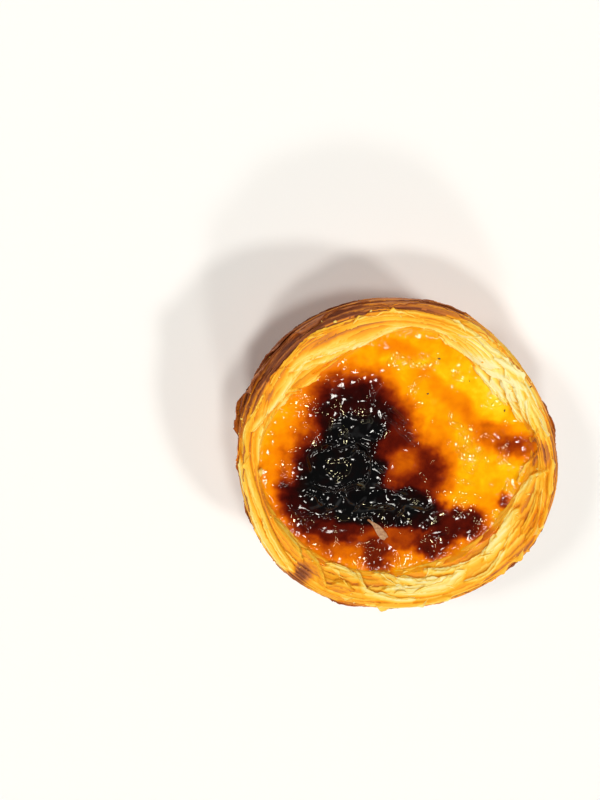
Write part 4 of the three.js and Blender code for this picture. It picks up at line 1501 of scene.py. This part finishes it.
def loose_flake(material):
    """A thin dry flake of pastry lying on the scorched custard."""
    flake = new_grid(30, 8)
    points = read_points(flake)
    along = points[:, 0] * FLAKE["length"]
    share = points[:, 0] + 0.5
    width = FLAKE["width"] * (0.12 + smoothstep(share, 0, 0.7))
    width *= 1 - 0.3 * smoothstep(share, 0.85, 1)
    across = points[:, 1] * width + 0.25 * np.sin(share * 5)
    turn = math.radians(FLAKE["turn"])
    x = FLAKE["x"] + along * math.cos(turn) - across * math.sin(turn)
    y = FLAKE["y"] + along * math.sin(turn) + across * math.cos(turn)
    lift = 0.35 + 0.35 * np.abs(points[:, 1]) + 0.1 * grain(x, y, 1.5, 96)
    write_points(flake, x, y, surface_height(x, y) + lift)
    thicken(flake, FLAKE["thickness"])
    rename(flake, "loose_flake")
    smooth_but_folds(flake)
    dress(flake, material)


# ---- light, floor and camera ---------------------------------------------------------------
# The camera's target and distance, in millimetres, and its tilt from straight down, in degrees
TARGET = (-1.5, 2.7, 29.0)
TILT = 24.0
TILT_TOWARDS = 117.0
CAMERA_DISTANCE = 262.0
# Pixels: the picture, where the target lies in it, and the focal length
PICTURE = (600, 800)
TARGET_PIXEL = (393.5, 452.0)
FOCAL_PIXELS = 1123.0
SENSOR = 36.0
FLOOR_SIZE = 12
# the studio's walls glow and its ceiling is dark, so that black custard stays black
WALL_GLOW = 0.85
CEILING_GLOW = 0.05
WALL_TOP = 0.12
CEILING_START = 0.48
# lamps: place and strength; how wide they look from the tart, in degrees
LAMP_WIDTH = 8.0
LAMP_COLOUR = (1.0, 0.975, 0.91)
LAMPS = (
    ("overhead_back", (0.05, 0.10, 0.60), 0.80),
    ("overhead_front", (-0.10, -0.12, 0.60), 0.74),
    ("right", (0.30, -0.13, 0.47), 0.82),
    ("left", (-0.34, 0.22, 0.44), 0.64),
    ("front", (0.08, -0.40, 0.38), 0.48),
)


def add_camera():
    """Looks down on the tart, tipped towards its upper left with the picture kept upright."""
    axis = Vector((-math.sin(math.radians(TILT_TOWARDS)), math.cos(math.radians(TILT_TOWARDS)), 0))
    tipped = Quaternion(axis, math.radians(TILT))
    back = tipped @ Vector((0, 0, 1))
    target = Vector((TARGET[0] + BASE_CENTRE[0], TARGET[1] + BASE_CENTRE[1], TARGET[2])) * MM
    aside = Vector((
        TARGET_PIXEL[0] - PICTURE[0] / 2,
        PICTURE[1] / 2 - TARGET_PIXEL[1],
        -FOCAL_PIXELS,
    ))
    pan = Vector((0, 0, -1)).rotation_difference(aside)
    data = bpy.data.cameras.new("camera")
    data.lens = FOCAL_PIXELS * SENSOR / max(PICTURE)
    data.sensor_width = SENSOR
    data.clip_start = 0.01
    camera = bpy.data.objects.new("camera", data)
    bpy.context.collection.objects.link(camera)
    camera.rotation_mode = "QUATERNION"
    camera.rotation_quaternion = tipped @ pan.inverted()
    camera.location = target + back * CAMERA_DISTANCE * MM
    bpy.context.scene.camera = camera


def add_lamp(name, place, strength):
    """A far lamp that shines evenly on the whole floor, from the way its place points."""
    data = bpy.data.lights.new(name, "SUN")
    data.angle = math.radians(LAMP_WIDTH)
    data.energy = strength
    data.color = LAMP_COLOUR
    lamp = bpy.data.objects.new(name, data)
    bpy.context.collection.objects.link(lamp)
    lamp.location = place
    lamp.rotation_mode = "QUATERNION"
    lamp.rotation_quaternion = (-Vector(place)).to_track_quat("-Z", "Y")


def add_studio():
    for name, place, strength in LAMPS:
        add_lamp(name, place, strength)
    world = bpy.data.worlds.new("studio")
    world.use_nodes = True
    nodes = world.node_tree.nodes
    links = world.node_tree.links
    # the walls of the studio are brighter than its ceiling
    direction = nodes.new("ShaderNodeTexCoord")
    split = nodes.new("ShaderNodeSeparateXYZ")
    links.new(direction.outputs["Generated"], split.inputs[0])
    fade = nodes.new("ShaderNodeMapRange")
    fade.inputs["From Min"].default_value = WALL_TOP
    fade.inputs["From Max"].default_value = CEILING_START
    fade.inputs["To Min"].default_value = WALL_GLOW
    fade.inputs["To Max"].default_value = CEILING_GLOW
    links.new(split.outputs["Z"], fade.inputs["Value"])
    links.new(fade.outputs["Result"], nodes["Background"].inputs["Strength"])
    nodes["Background"].inputs["Color"].default_value = (1, 1, 1, 1)
    bpy.context.scene.world = world
    bpy.ops.object.select_all(action="DESELECT")
    bpy.ops.mesh.primitive_plane_add(size=FLOOR_SIZE)
    floor = bpy.context.object
    floor.name = "floor"
    recipe = Recipe("pale_table")
    recipe.set(Base_Color=srgb(250, 250, 250), Roughness=0.7)
    floor.data.materials.append(recipe.material)
    bpy.context.scene.view_settings.view_transform = "Standard"


# ---- making the tart -----------------------------------------------------------------------
dough = baked_dough("baked_dough")
custard_skin = baked_custard("baked_custard", roughness=0.08, ior=1.34, shine=(1, 1, 1, 1))
syrup = baked_custard("syrup", roughness=0.03, ior=1.62, shine=srgb(255, 246, 200))
burnt_crumb = mottled("burnt_crumb", srgb(60, 24, 8), srgb(130, 60, 20), roughness=0.6)
dry_flake = mottled("dry_flake", srgb(150, 98, 62), srgb(206, 160, 118), roughness=0.5)

pastry_cup(dough)
leaf_edges(dough)
wall_leaves(dough)
torn_bits(dough)
baked_filling(custard_skin)
syrup_beads(syrup)
crumbs(dough)
specks(burnt_crumb)
loose_flake(dry_flake)

add_studio()
add_camera()
